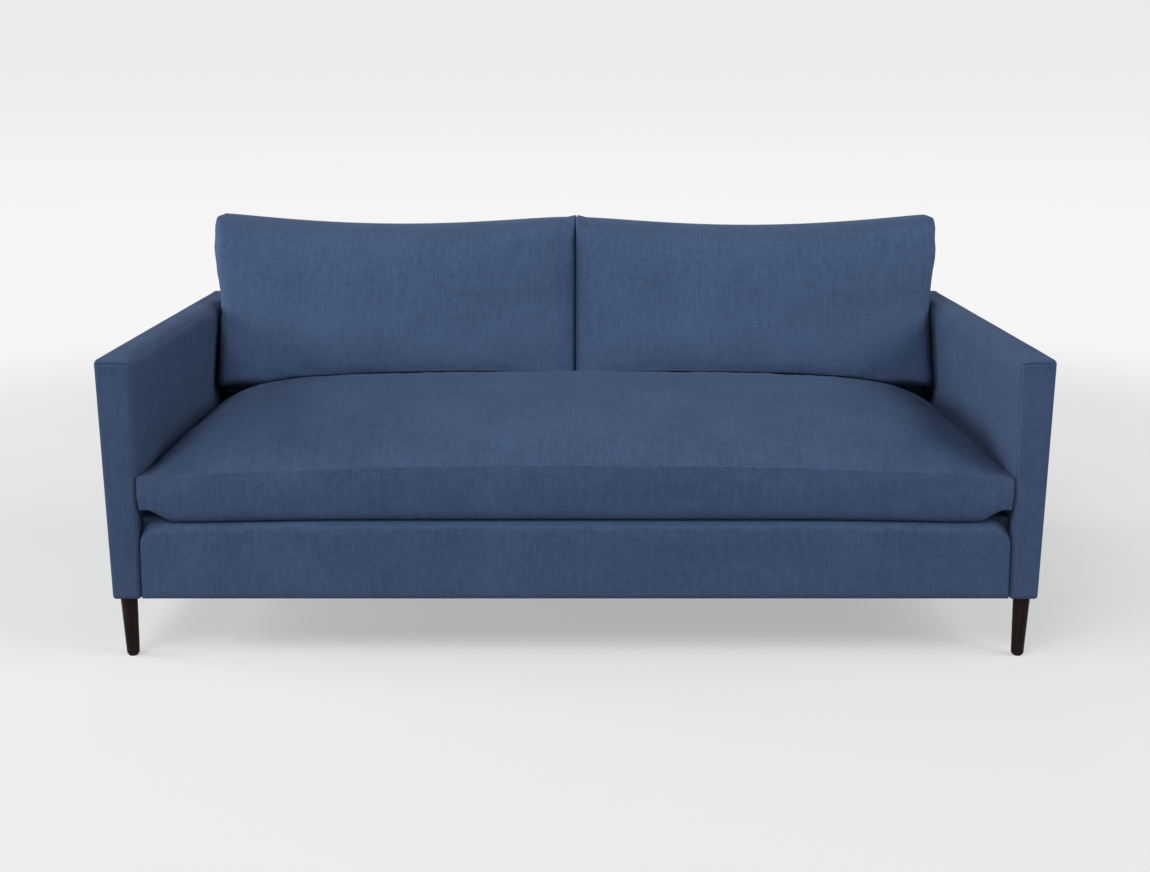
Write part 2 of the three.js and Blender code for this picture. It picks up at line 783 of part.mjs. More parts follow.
const seatLevels = [bothWays(seatAcrossShares, true), bothWays(seatDepthShares, false), bandShares];
const seatGrid = cushionGrid(seatLevels, placeSeat);
const seatZipFrom = 3;
const seatZipTo = seatGrid.counts[0] - seatZipFrom;
const seatRearEnd = seatGrid.counts[1];
const zipBand = 1;
function isSeatSlit(quad) {
  const inBand = quad.axis === 1 && quad.end === seatRearEnd && quad.first === zipBand;
  return inBand && quad.second >= seatZipFrom && quad.second < seatZipTo;
}
add('seat_cushion_cover', cushionCover(seatGrid, isSeatSlit), blueFabric);
add('seat_cushion_core', cushionCore(seatGrid), fibre);
add('seat_cushion_zip', cushionZip(seatGrid, seatRearEnd, seatZipFrom, seatZipTo, zipBand), zipTape);

// Back cushions: upright pillows that lean on the inside back and rest on the seat's crown
const backSideX = armInnerX(armHeight) - backCushionSideGap;
const backInnerX = backCushionCentreGap / 2;
const earX = armInnerX(armHeight) + backCushionEar;
const earZ = armHeight + backCushionEarLift;
const crownPower = 3;
const endPower = 9;
const backMiddleX = (backInnerX + backSideX) / 2;
const backHalfWidth = (backSideX - backInnerX) / 2;
const outerRollShare = 1 - backCushionCornerRadius / backHalfWidth;
const innerRollShare = 1 - backCushionInnerRadius / backHalfWidth;
const edgeShare = backCushionCornerRadius / backHalfWidth;

function placeBack(u, v, w) {
  const dipped = backCushionTop - backCushionTopDip * (1 - u * u);
  const cornerSize = u > 0 ? backCushionCornerRadius : backCushionInnerRadius;
  const fromSide = (1 - Math.abs(u)) * backHalfWidth;
  const corner = cornerSize * (1 - roll(fromSide, cornerSize));
  const top = dipped - corner * smooth(v);
  const flat = THREE.MathUtils.lerp(backCushionCornerFoot, top, (v + 1) / 2);
  const z = flat - backCushionEdgeRoll * w * w * v ** endPower;
  const ear = smooth((z - earZ) / backCushionEarRise) * (earX - backSideX) * Math.max(u, 0) ** crownPower;
  const drawn = u > 0 ? backCushionSideRoll * w * w * u ** endPower : 0;
  const x = backMiddleX + u * backHalfWidth + ear - drawn;

  // Depths are measured forwards from the plane of the inside back.
  const acrossRoll = roll(1 - Math.abs(u), edgeShare);
  const upRoll = roll(1 - Math.abs(v), edgeShare);
  const rearRoll = backCushionRearRoll * (1 - acrossRoll * upRoll);
  const crown = backCushionCrown * (1 - Math.abs(u) ** crownPower) * (1 - Math.abs(v) ** crownPower);
  const frontRoll = backCushionInnerRadius * (1 - acrossRoll);
  const depth = THREE.MathUtils.lerp(rearRoll, backCushionEdge + crown - frontRoll, (w + 1) / 2);
  const y = insideBackY(z) - seatGap - depth;
  const rest = seatTopZ(x, y) + backCushionRest;
  return new THREE.Vector3(x, y, Math.max(z, rest));
}

const backAcrossShares = [-1, -innerRollShare, -0.62, -0.22, 0.22, 0.62, outerRollShare, 1];
const backUpShares = [-1, -0.88, -0.5, -0.05, 0.35, 0.7, 0.9, 1];
const backGrid = cushionGrid([backAcrossShares, backUpShares, bandShares], placeBack);
const backZipFrom = 2;
const backZipTo = backGrid.counts[0] - backZipFrom;
function isBackSlit(quad) {
  const inBand = quad.axis === 1 && quad.end === 0 && quad.first === zipBand;
  return inBand && quad.second >= backZipFrom && quad.second < backZipTo;
}
addPair('back_cushion_cover', cushionCover(backGrid, isBackSlit), blueFabric);
addPair('back_cushion_core', cushionCore(backGrid), fibre);
addPair('back_cushion_zip', cushionZip(backGrid, 0, backZipFrom, backZipTo, zipBand), zipTape);

export default sofa;
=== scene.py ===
import math

import bmesh
import bpy
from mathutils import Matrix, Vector, noise


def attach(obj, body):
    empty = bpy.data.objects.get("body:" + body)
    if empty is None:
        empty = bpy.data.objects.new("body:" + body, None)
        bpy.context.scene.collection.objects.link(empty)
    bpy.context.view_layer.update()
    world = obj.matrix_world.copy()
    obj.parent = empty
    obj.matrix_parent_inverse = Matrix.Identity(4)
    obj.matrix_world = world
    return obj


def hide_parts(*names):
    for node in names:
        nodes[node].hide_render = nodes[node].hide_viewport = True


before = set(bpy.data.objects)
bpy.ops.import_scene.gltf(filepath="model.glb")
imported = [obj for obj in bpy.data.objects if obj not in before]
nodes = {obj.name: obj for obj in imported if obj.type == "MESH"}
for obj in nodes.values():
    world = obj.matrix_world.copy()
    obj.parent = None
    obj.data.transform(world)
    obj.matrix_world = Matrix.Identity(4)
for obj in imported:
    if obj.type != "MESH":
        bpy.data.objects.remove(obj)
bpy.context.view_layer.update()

# Camera. It stands a little above the cushions, 3.4 m from the middle of the sofa, and looks down
# by 14 degrees. The lens is the one that fits the lines of the arms, the feet and the back.
camera_place = (-0.0007, -3.399, 1.221)
camera_tilt = math.radians(90 - 13.94)
bpy.ops.object.select_all(action="DESELECT")
bpy.ops.object.camera_add(location=camera_place, rotation=(camera_tilt, 0, 0))
camera = bpy.context.object
camera.name = "camera"
camera.data.sensor_width = 36
camera.data.lens = 44.39
bpy.context.scene.camera = camera

# Studio. A pale floor runs out under a wide pale dish, which only the camera sees, so that no line
# shows where they meet. Five wide soft lamps light the sofa: one high at the front left, one behind
# the camera, one at each side and one behind the sofa. The floor's paper glows a little.
def add_node(material, kind, inputs, **settings):
    node = material.node_tree.nodes.new(kind)
    for name, value in settings.items():
        setattr(node, name, value)
    for name, value in inputs.items():
        if isinstance(value, bpy.types.NodeSocket):
            material.node_tree.links.new(value, node.inputs[name])
        else:
            node.inputs[name].default_value = value
    return node


floor_half = 12
paper_grey, paper_glow = 0.268, 0.42
bpy.ops.object.select_all(action="DESELECT")
bpy.ops.mesh.primitive_plane_add(size=2)
floor = bpy.context.object
floor.name = "studio_floor"
bpy.ops.object.mode_set(mode="EDIT")
bpy.ops.transform.resize(value=(floor_half, floor_half, 1))
bpy.ops.object.mode_set(mode="OBJECT")

studio_paper = bpy.data.materials.new("studio_paper")
studio_paper.use_nodes = True
paper_shader = studio_paper.node_tree.nodes["Principled BSDF"]
paper_shader.inputs["Base Color"].default_value = (paper_grey, paper_grey, paper_grey, 1)
paper_shader.inputs["Roughness"].default_value = 1
paper_shader.inputs["Specular IOR Level"].default_value = 0
paper_shader.inputs["Emission Color"].default_value = (1, 1, 1, 1)
paper_shader.inputs["Emission Strength"].default_value = paper_glow
floor.data.materials.append(studio_paper)

dish_radius, dish_height = 2.5, 0.002
dish_rings = ((7, 0.004), (8, 0.1), (9, 0.45), (9.7, 1.1), (10.1, 2.2), (10.2, 5), (10.2, 11))
dish_clear_to, dish_solid_from = 2.5, 4.3
dish_foot_glow, dish_wall_glow, dish_wall_height = 0.92, 0.83, 1.6
bpy.ops.object.select_all(action="DESELECT")
bpy.ops.mesh.primitive_circle_add(vertices=128, radius=dish_radius, location=(0, 0, 0))
dish = bpy.context.object
dish.name = "studio_dish"
bpy.ops.object.mode_set(mode="EDIT")
bpy.ops.mesh.select_all(action="SELECT")
bpy.ops.transform.translate(value=(0, 0, dish_height))
for radius, height in dish_rings:
    bpy.ops.mesh.extrude_region_move(TRANSFORM_OT_translate={"value": (0, 0, height - dish_height)})
    share = radius / dish_radius
    bpy.ops.transform.resize(value=(share, share, 1), center_override=(0, 0, 0))
    dish_radius, dish_height = radius, height
bpy.ops.object.mode_set(mode="OBJECT")
bpy.ops.object.shade_smooth()
dish.visible_diffuse = dish.visible_glossy = dish.visible_transmission = dish.visible_shadow = False

dish_glow = bpy.data.materials.new("studio_dish")
dish_glow.use_nodes = True
dish_glow.node_tree.nodes.clear()
dish_place = add_node(dish_glow, "ShaderNodeTexCoord", {}).outputs["Object"]
dish_way = add_node(
    dish_glow, "ShaderNodeVectorMath", {0: dish_place}, operation="LENGTH"
).outputs["Value"]
dish_share = add_node(
    dish_glow,
    "ShaderNodeMapRange",
    {"Value": dish_way, "From Min": dish_clear_to, "From Max": dish_solid_from},
    interpolation_type="SMOOTHSTEP",
).outputs["Result"]
dish_rise = add_node(dish_glow, "ShaderNodeSeparateXYZ", {0: dish_place}).outputs["Z"]
dish_power = add_node(
    dish_glow,
    "ShaderNodeMapRange",
    {
        "Value": dish_rise,
        "From Min": 0,
        "From Max": dish_wall_height,
        "To Min": dish_foot_glow,
        "To Max": dish_wall_glow,
    },
    interpolation_type="SMOOTHSTEP",
).outputs["Result"]
dish_clear = add_node(dish_glow, "ShaderNodeBsdfTransparent", {}).outputs[0]
dish_pale = add_node(dish_glow, "ShaderNodeEmission", {"Strength": dish_power}).outputs[0]
dish_mix = add_node(
    dish_glow, "ShaderNodeMixShader", {0: dish_share, 1: dish_clear, 2: dish_pale}
).outputs[0]
add_node(dish_glow, "ShaderNodeOutputMaterial", {"Surface": dish_mix})
dish.data.materials.append(dish_glow)

room = bpy.data.worlds.new("studio_room")
bpy.context.scene.world = room
room.use_nodes = True
room.node_tree.nodes["Background"].inputs["Color"].default_value = (0.98, 0.99, 1, 1)
room.node_tree.nodes["Background"].inputs["Strength"].default_value = 0.02


def lamp(name, place, target, size, power):
    bpy.ops.object.select_all(action="DESELECT")
    aim = (Vector(target) - Vector(place)).to_track_quat("-Z", "Y").to_euler()
    bpy.ops.object.light_add(type="AREA", location=place, rotation=aim)
    light = bpy.context.object
    light.name = name
    light.data.shape = "RECTANGLE"
    light.data.size = size[0]
    light.data.size_y = size[1]
    light.data.energy = power
    light.visible_camera = False


lamp("key_lamp", (-3.5, -4.9, 7.2), (0, -0.1, 0.4), (5, 5), 660)
lamp("low_lamp", (0, -9, 1.6), (0, -0.1, 0.5), (9, 2), 170)
lamp("left_lamp", (-9.8, -0.3, 3.2), (0, -0.1, 0.5), (6, 4), 1280)
lamp("right_lamp", (8, -2.5, 5.5), (0, -0.1, 0.5), (8, 5), 950)
lamp("rear_lamp", (0, 9, 2.6), (0, 0.1, 0.4), (5, 3), 280)
bpy.context.scene.view_settings.view_transform = "Standard"


# Timber frame. The rails and posts are planed from pale hardwood and glued and screwed together.
# The blocks in the corners are cut from plywood, so their faces show its layers.
def finish_named(name, roughness, **shader_values):
    material = bpy.data.materials.new(name)
    material.use_nodes = True
    shader = material.node_tree.nodes["Principled BSDF"]
    shader.inputs["Roughness"].default_value = roughness
    for socket, value in shader_values.items():
        shader.inputs[socket.replace("_", " ")].default_value = value
    return material, shader


def feed(material, shader, colour, height, depth):
    bump = add_node(material, "ShaderNodeBump", {"Strength": 1, "Distance": depth, "Height": height})
    material.node_tree.links.new(colour, shader.inputs["Base Color"])
    material.node_tree.links.new(bump.outputs["Normal"], shader.inputs["Normal"])


def two_tone(material, share, dark, light):
    return add_node(
        material,
        "ShaderNodeMix",
        {0: share, 6: (*dark, 1), 7: (*light, 1)},
        data_type="RGBA",
    ).outputs[2]


def grained(name, dark, light, stretch, roughness, gloss=0.3):
    material, shader = finish_named(name, roughness, Specular_IOR_Level=gloss)
    place = add_node(material, "ShaderNodeTexCoord", {}).outputs["Object"]
    along = add_node(material, "ShaderNodeMapping", {"Vector": place, "Scale": stretch})
    grain = add_node(
        material,
        "ShaderNodeTexNoise",
        {"Vector": along.outputs["Vector"], "Scale": 1, "Detail": 6, "Distortion": 0.6},
    ).outputs["Fac"]
    tone = add_node(
        material,
        "ShaderNodeMapRange",
        {"Value": grain, "From Min": 0.32, "From Max": 0.68},
    ).outputs["Result"]
    grain_depth = 0.0004
    feed(material, shader, two_tone(material, tone, dark, light), grain, grain_depth)
    return material


def dress(names, material):
    for name in names:
        node = nodes[name]
        node.data.materials.clear()
        node.data.materials.append(material)


pale_dark, pale_light = (0.36, 0.2, 0.095), (0.62, 0.4, 0.21)
across_grain = grained("pale_wood_across", pale_dark, pale_light, (5, 130, 130), 0.62)
deep_grain = grained("pale_wood_deep", pale_dark, pale_light, (130, 5, 130), 0.62)
upright_grain = grained("pale_wood_upright", pale_dark, pale_light, (130, 130, 5), 0.62)
plywood = grained("plywood", (0.3, 0.17, 0.085), (0.56, 0.37, 0.2), (22, 22, 700), 0.7)
dress(["front_rail", "rear_rail", "back_lower_rail", "back_top_rail"], across_grain)
dress(["center_stretcher", "side_rail_left", "side_rail_right"], deep_grain)
dress(["arm_top_rail_left", "arm_top_rail_right"], deep_grain)
dress(["back_center_upright"], upright_grain)
for corner in ("front_left", "front_right", "rear_left", "rear_right"):
    dress([f"arm_post_{corner}"], upright_grain)
    dress([f"corner_block_{corner}"], plywood)

# Seat springs and webbing. The springs are bent from tempered steel wire, and the webbing is woven
# from jute and tacked across the back.
spring_steel, spring_shader = finish_named("spring_steel", 0.42, Metallic=1)
wire_place = add_node(spring_steel, "ShaderNodeTexCoord", {}).outputs["Object"]
wire_scale = add_node(
    spring_steel, "ShaderNodeTexNoise", {"Vector": wire_place, "Scale": 160, "Detail": 3}
).outputs["Fac"]
wire_tones = two_tone(spring_steel, wire_scale, (0.07, 0.075, 0.08), (0.2, 0.21, 0.22))
wire_roughness = 0.0001
feed(spring_steel, spring_shader, wire_tones, wire_scale, wire_roughness)
spring_count = 8
dress([f"seat_spring_{number + 1}" for number in range(spring_count)], spring_steel)


waves_per_pitch = 0.314


def woven(name, dark, light, pitch, roughness, vector="Object"):
    material, shader = finish_named(name, roughness, Specular_IOR_Level=0.25)
    place = add_node(material, "ShaderNodeTexCoord", {}).outputs[vector]
    patches = add_node(
        material, "ShaderNodeTexNoise", {"Vector": place, "Scale": 24, "Detail": 4}
    ).outputs["Fac"]
    threads = []
    for direction in ("X", "Y", "Z"):
        wave = add_node(
            material,
            "ShaderNodeTexWave",
            {"Vector": place, "Scale": waves_per_pitch / pitch, "Distortion": 0.6},
            bands_direction=direction,
        )
        threads.append(wave.outputs["Fac"])
    pair = add_node(material, "ShaderNodeMath", {0: threads[0], 1: threads[1]}, operation="MULTIPLY")
    cross = add_node(material, "ShaderNodeMath", {0: pair.outputs[0], 1: threads[2]}, operation="ADD")
    level = add_node(material, "ShaderNodeMath", {0: cross.outputs[0], 1: 0.5}, operation="MULTIPLY")
    tone = add_node(material, "ShaderNodeMath", {0: level.outputs[0], 1: patches}, operation="ADD")
    half = add_node(material, "ShaderNodeMath", {0: tone.outputs[0], 1: 0.6}, operation="MULTIPLY")
    colour = two_tone(material, half.outputs[0], dark, light)
    feed(material, shader, colour, level.outputs[0], pitch / 4)
    return material


jute_pitch = 0.0025
jute = woven("jute", (0.2, 0.14, 0.06), (0.52, 0.4, 0.2), jute_pitch, 0.9)
dress(["back_webbing"], jute)

# Foam, fibre and felt. The frame is padded with slabs of foam under its covers, the springs carry a
# felt pad, and the loose cushions are filled with soft fibre.
foam, foam_shader = finish_named("foam", 0.95, Specular_IOR_Level=0.2)
foam_place = add_node(foam, "ShaderNodeTexCoord", {}).outputs["Object"]
foam_cells = add_node(
    foam, "ShaderNodeTexVoronoi", {"Vector": foam_place, "Scale": 600}
).outputs["Distance"]
foam_tones = two_tone(foam, foam_cells, (0.5, 0.44, 0.28), (0.82, 0.76, 0.56))
cell_depth = 0.0008
feed(foam, foam_shader, foam_tones, foam_cells, cell_depth)


def fibrous(name, dark, light, size):
    material, shader = finish_named(name, 0.95, Specular_IOR_Level=0.2)
    place = add_node(material, "ShaderNodeTexCoord", {}).outputs["Object"]
    strands = add_node(
        material,
        "ShaderNodeTexNoise",
        {"Vector": place, "Scale": size, "Detail": 8, "Roughness": 0.7, "Distortion": 2},
    ).outputs["Fac"]
    strand_depth = 0.002
    feed(material, shader, two_tone(material, strands, dark, light), strands, strand_depth)
    return material


fibre = fibrous("fibre", (0.62, 0.61, 0.57), (0.95, 0.94, 0.9), 120)
felt = fibrous("felt", (0.12, 0.12, 0.12), (0.42, 0.41, 0.4), 300)
dress(["deck_felt"], felt)

# Legs. Each is turned from solid wood, tapers to its foot and is stained almost black. A hanger bolt
# screws it into the post, and a nailed nylon glide keeps it off the floor.
dark_wood = grained(
    "dark_wood", (0.0045, 0.0021, 0.0016), (0.0125, 0.0066, 0.005), (260, 260, 9), 0.5, 0.08
)
half_width, half_depth = 1, 0.505
leg_x, leg_y = half_width - 0.026, half_depth - 0.026
leg_rings = [
    (0.0053, 0.0128),
    (0.0062, 0.0135),
    (0.1312, 0.01775),
    (0.1386, 0.01775),
    (0.1397, 0.0171),
]
corner_places = {
    "front_left": (-leg_x, -leg_y),
    "front_right": (leg_x, -leg_y),
    "rear_left": (-leg_x, leg_y),
    "rear_right": (leg_x, leg_y),
}


sharp_angle = math.radians(35)


def turned(name, rings, x, y, sides):
    bpy.ops.object.select_all(action="DESELECT")
    height, radius = rings[0]
    bpy.ops.mesh.primitive_circle_add(
        vertices=sides, radius=radius, fill_type="NGON", location=(x, y, height)
    )
    piece = bpy.context.object
    piece.name = name
    bpy.ops.object.transform_apply(location=True, rotation=False, scale=False)
    bpy.ops.object.mode_set(mode="EDIT")
    bpy.ops.mesh.select_all(action="SELECT")
    for height_next, radius_next in rings[1:]:
        rise = (0, 0, height_next - height)
        bpy.ops.mesh.extrude_region_move(TRANSFORM_OT_translate={"value": rise})
        share = radius_next / radius
        work = bmesh.from_edit_mesh(piece.data)
        for vertex in work.verts:
            if vertex.select:
                vertex.co.x = x + (vertex.co.x - x) * share
                vertex.co.y = y + (vertex.co.y - y) * share
        bmesh.update_edit_mesh(piece.data)
        height, radius = height_next, radius_next
    bpy.ops.mesh.select_all(action="SELECT")
    bpy.ops.mesh.normals_make_consistent(inside=False)
    bpy.ops.object.mode_set(mode="OBJECT")
    bpy.ops.object.shade_smooth_by_angle(angle=sharp_angle)
    return piece


bolt_steel, bolt_shader = finish_named("bolt_steel", 0.35, Metallic=1)
bolt_place = add_node(bolt_steel, "ShaderNodeTexCoord", {}).outputs["Object"]
bolt_turns = add_node(
    bolt_steel,
    "ShaderNodeTexWave",
    {"Vector": bolt_place, "Scale": 250, "Distortion": 0.1},
    bands_direction="Z",
).outputs["Fac"]
bolt_tones = two_tone(bolt_steel, bolt_turns, (0.2, 0.2, 0.21), (0.5, 0.51, 0.53))
thread_depth = 0.0006
feed(bolt_steel, bolt_shader, bolt_tones, bolt_turns, thread_depth)
nylon = fibrous("nylon", (0.008, 0.008, 0.009), (0.02, 0.02, 0.021), 900)
glide_rings = [(0.0, 0.0088), (0.0005, 0.0096), (0.0012, 0.0103), (0.0025, 0.011), (0.005, 0.011)]
leg_sides, glide_sides = 64, 40
for corner, (x, y) in corner_places.items():
    leg = turned(f"turned_leg_{corner}", leg_rings, x, y, leg_sides)
    leg.data.materials.append(dark_wood)
    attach(leg, "frame")
    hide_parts(f"leg_{corner}")
    glide = turned(f"nailed_glide_{corner}", glide_rings, x, y, glide_sides)
    glide.data.materials.append(nylon)
    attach(glide, "frame")
    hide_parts(f"glide_{corner}")
    dress([f"leg_bolt_{corner}"], bolt_steel)


# Arms. Each is a foam-padded frame in a tight cover, thinner at its foot. The cover's front panel is
# sewn to the band that runs over the arm, in a plain seam just inside the front edge.
def mixed(start, end, share):
    return start + (end - start) * share


def smooth(share):
    share = min(max(share, 0), 1)
    return share * share * (3 - 2 * share)


body_foot, body_top, body_height = 0.14, 0.665, 0.525
arm_foot_thickness, arm_top_thickness = 0.0585, 0.0745


def arm_inner(z):
    share = (z - body_foot) / body_height
    return half_width - mixed(arm_foot_thickness, arm_top_thickness, share)


def cuts(length, near, far, step):
    inner = length - near[-1] - far[-1]
    count = max(math.ceil(inner / step), 1)
    count += (len(near) + len(far) + count) % 2
    between = [near[-1] + inner * number / count for number in range(1, count)]
    places = [*near, *between, *[length - place for place in reversed(far)]]
    return [2 * place / length - 1 for place in places]


def gridded_block(name, *sides):
    bpy.ops.object.select_all(action="DESELECT")
    bpy.ops.mesh.primitive_cube_add(size=2)
    block = bpy.context.object
    block.name = name
    bpy.context.tool_settings.mesh_select_mode = (False, True, False)
    bpy.ops.object.mode_set(mode="EDIT")
    for axis, places in enumerate(sides):
        cells = len(places) - 1
        longest = 2
        for number_cuts in (1, cells // 2 - 1):
            bpy.ops.mesh.select_all(action="DESELECT")
            work = bmesh.from_edit_mesh(block.data)
            for edge in work.edges:
                start, end = edge.verts
                edge.select = abs(start.co[axis] - end.co[axis]) > longest * 0.9
            bmesh.update_edit_mesh(block.data)
            if number_cuts:
                bpy.ops.mesh.subdivide(number_cuts=number_cuts)
            longest /= 2
    bpy.ops.object.mode_set(mode="OBJECT")
    for vertex in block.data.vertices:
        for axis, places in enumerate(sides):
            vertex.co[axis] = places[round((vertex.co[axis] + 1) / 2 * (len(places) - 1))]
    return block


def shaped(block, place):
    for vertex in block.data.vertices:
        vertex.co = place(*vertex.co)
    block.data.update()
    return block


# Within its radius a square corner goes to a round one. The third result is the way to the edge.
def softened(side, end, radius):
    if side >= radius or end >= radius:
        return side, end, min(side, end)
    across, up = radius - side, radius - end
    longest = max(across, up)
    share = longest / max(math.hypot(across, up), 1e-9)
    return radius - across * share, radius - up * share, radius - longest


def rolled(distance, size):
    left = 1 - min(max(distance / size, 0), 1)
    return math.sqrt(1 - left * left)


def pressed(distance, width):
    return math.exp(-((distance / width) ** 2))


def uneven(x, y, z, size):
    return noise.noise(Vector((x, y, z)) / size)


rear_face = 0.5017
front_face = -half_depth
arm_puff = 0.0016
arm_roll = 0.0105
outer_face = 1.003
base_foot = 0.1363
arm_top = 0.6657
seam_from_top = 0.0098
seam_from_side = 0.0034
seam_depth, seam_width = 0.0026, 0.0011
lip_height, lip_width, lip_from_seam = 0.001, 0.0014, 0.0024
foot_radius, outer_radius = 0.007, 0.0115
rear_radius, front_radius_more, middle_radius_more = 0.012, 0.004, 0.014
cover_thickness = 0.0025
cover_gap = 0.0003


def arm_place(u, v, w):
    z = mixed(base_foot, arm_top, (w + 1) / 2)
    thickness = outer_face - arm_inner(z)
    from_inner = thickness * (u + 1) / 2
    from_outer = thickness - from_inner
    side = min(from_inner, from_outer)
    end = min(z - base_foot, arm_top - z)
    seam = softened(side + seam_from_top - seam_from_side, end if w > 0 else 1, 0.02)[2]
    is_inner = from_inner < from_outer
    ahead_of_back = smooth((0.75 - v) / 0.2)
    soft_inner = rear_radius + front_radius_more * ahead_of_back
    soft_inner += middle_radius_more * smooth((v + 1) / 0.16) * ahead_of_back
    radius = foot_radius if w < 0 else soft_inner if is_inner else outer_radius
    side, end, edge = softened(side, end, radius)
    x = arm_inner(z) + side if is_inner else outer_face - side
    z = arm_top - end if w > 0 else base_foot + end
    y = mixed(front_face + arm_roll, rear_face, (v + 1) / 2)
    swell = arm_puff * (1 + 0.5 * uneven(x, y, z, 0.16))
    if v == -1:
        y = front_face + arm_roll * (1 - rolled(edge, arm_roll))
        from_seam = seam - seam_from_top
        lip = lip_height * pressed(from_seam - lip_from_seam, lip_width)
        y += seam_depth * pressed(from_seam, seam_width) - lip
        y -= swell * (1 - u * u) * (1 - w**8)
    if abs(u) == 1:
        x += math.copysign(swell, u) * (1 - v**6) * (1 - w**6)
    if w == 1:
        z += swell * (1 - u * u) * (1 - v**8)
    return x, y, z


edge_places = [0, 0.0006, 0.0018, 0.0028, 0.0036, 0.0046, 0.006, 0.0076, 0.0088]
edge_places += [0.0098, 0.0108, 0.0125, 0.0165]
arm_sizes = (0.0665, 0.997, body_height)
arm_grid = (
    cuts(arm_sizes[0], edge_places, edge_places, 0.009),
    cuts(arm_sizes[1], [0, 0.004, 0.012], [0, 0.01], 0.014),
    cuts(arm_sizes[2], edge_places, edge_places, 0.014),
)


# Two dusty blue yarns make the cloth. Thick and thin places in both give it fine streaks, its brushed
# face is mottled, and a thin nap lightens it where light grazes it. Each streak has a share, how often
# it repeats in a metre each way, and a detail.
yarn_pitch = 0.0011
yarn_depth = 0.0005
cloth_streaks = (
    (0.55, (230, 10, 1), 4),
    (0.25, (12, 300, 1), 3),
    (0.55, (7, 7, 1), 3),
    (0.62, (60, 50, 1), 5),
    (1.2, (330, 280, 1), 2),
    (1, (640, 640, 1), 2),
)
# Painted light: below the lower height the cloth's colour is lightened fully, and above the upper
# height not at all.
painted_light_low, painted_light_high = 0.47, 0.78


def cloth_blue(name, dark, light, painted_foot_light=0):
    material, shader = finish_named(
        name,
        0.9,
        Specular_IOR_Level=0.07,
        Sheen_Weight=0.03,
        Sheen_Roughness=0.5,
        Sheen_Tint=(0.62, 0.75, 1, 1),
    )

    def joined(operation, first, second):
        node = add_node(material, "ShaderNodeMath", {0: first, 1: second}, operation=operation)
        return node.outputs[0]

    place = add_node(material, "ShaderNodeTexCoord", {}).outputs["UV"]
    parts = []
    for share, stretch, detail in cloth_streaks:
        spread = add_node(material, "ShaderNodeMapping", {"Vector": place, "Scale": stretch})
        cloud = add_node(
            material,
            "ShaderNodeTexNoise",
            {"Vector": spread.outputs["Vector"], "Scale": 1, "Detail": detail},
            noise_dimensions="2D",
        )
        middle = joined("SUBTRACT", cloud.outputs["Fac"], 0.5)
        parts.append(joined("MULTIPLY", middle, share))
    total = parts[0]
    for part in parts[1:]:
        total = joined("ADD", total, part)
    level = 0.5
    # Painted light: when it is given, the colour is made lighter from the upper height down to the
    # foot.
    if painted_foot_light:
        body = add_node(material, "ShaderNodeTexCoord", {}).outputs["Object"]
        height = add_node(material, "ShaderNodeSeparateXYZ", {"Vector": body}).outputs["Z"]
        level = add_node(
            material,
            "ShaderNodeMapRange",
            {
                "Value": height,
                "From Min": painted_light_low,
                "From Max": painted_light_high,
                "To Min": 0.5 + painted_foot_light,
                "To Max": 0.5,
            },
        ).outputs["Result"]
    tone = joined("ADD", total, level)
    tone.node.use_clamp = True
    threads = []
    for direction in ("X", "Y"):
        wave = add_node(
            material,
            "ShaderNodeTexWave",
            {"Vector": place, "Scale": waves_per_pitch / yarn_pitch, "Distortion": 1.2, "Detail": 1},
            bands_direction=direction,
        )
        threads.append(wave.outputs["Fac"])
    weave = joined("ADD", *threads)
    slubbed = joined("ADD", joined("MULTIPLY", weave, 0.25), tone)
    feed(material, shader, two_tone(material, tone, dark, light), slubbed, yarn_depth)
    return material


blue_fabric = cloth_blue("blue_fabric", (0.0233, 0.0405, 0.082), (0.044, 0.0715, 0.139))


def unrolled(piece):
    bpy.ops.object.select_all(action="DESELECT")
    bpy.context.view_layer.objects.active = piece
    piece.select_set(True)
    bpy.ops.object.mode_set(mode="EDIT")
    bpy.ops.mesh.select_all(action="SELECT")
    bpy.ops.uv.cube_project(cube_size=1, correct_aspect=False)
    bpy.ops.object.mode_set(mode="OBJECT")
    bpy.ops.object.shade_smooth()


def remove_faces(piece, is_gone):
    bpy.context.tool_settings.mesh_select_mode = (False, False, True)
    bpy.ops.object.select_all(action="DESELECT")
    bpy.context.view_layer.objects.active = piece
    piece.select_set(True)
    bpy.ops.object.mode_set(mode="EDIT")
    bpy.ops.mesh.select_all(action="DESELECT")
    work = bmesh.from_edit_mesh(piece.data)
    for face in work.faces:
        face.select = is_gone(face.calc_center_median(), face.normal)
    bmesh.update_edit_mesh(piece.data)
    bpy.ops.mesh.delete(type="FACE")
    bpy.ops.object.mode_set(mode="OBJECT")


def given_thickness(piece, thickness):
    wall = piece.modifiers.new("wall", "SOLIDIFY")
    wall.thickness = thickness
    wall.offset = -1
    bpy.context.view_layer.objects.active = piece
    bpy.ops.object.modifier_apply(modifier="wall")


def other_side(piece, name):
    bpy.ops.object.select_all(action="DESELECT")
    bpy.context.view_layer.objects.active = piece
    piece.select_set(True)
    bpy.ops.object.duplicate(linked=False)
    twin = bpy.context.object
    twin.name = name
    bpy.ops.object.mode_set(mode="EDIT")
    bpy.ops.mesh.select_all(action="SELECT")
    bpy.ops.transform.resize(value=(-1, 1, 1), center_override=(0, 0, 0))
    bpy.ops.mesh.flip_normals()
    bpy.ops.object.mode_set(mode="OBJECT")
    return twin


# The rails, posts and lower parts of the frame stand in these spaces, which the padding leaves open.
rail_edge, rail_front, rail_top = 0.9561, -0.4709, 0.3003
post_front, post_inner, post_outer, post_top = -0.4917, 0.9559, 0.9887, 0.6497
back_rail_front = 0.467
past_rear, past_foot, past_inner = 0.51, 0.1, 0.9
arm_right = shaped(gridded_block("padded_arm_right", *arm_grid), arm_place)


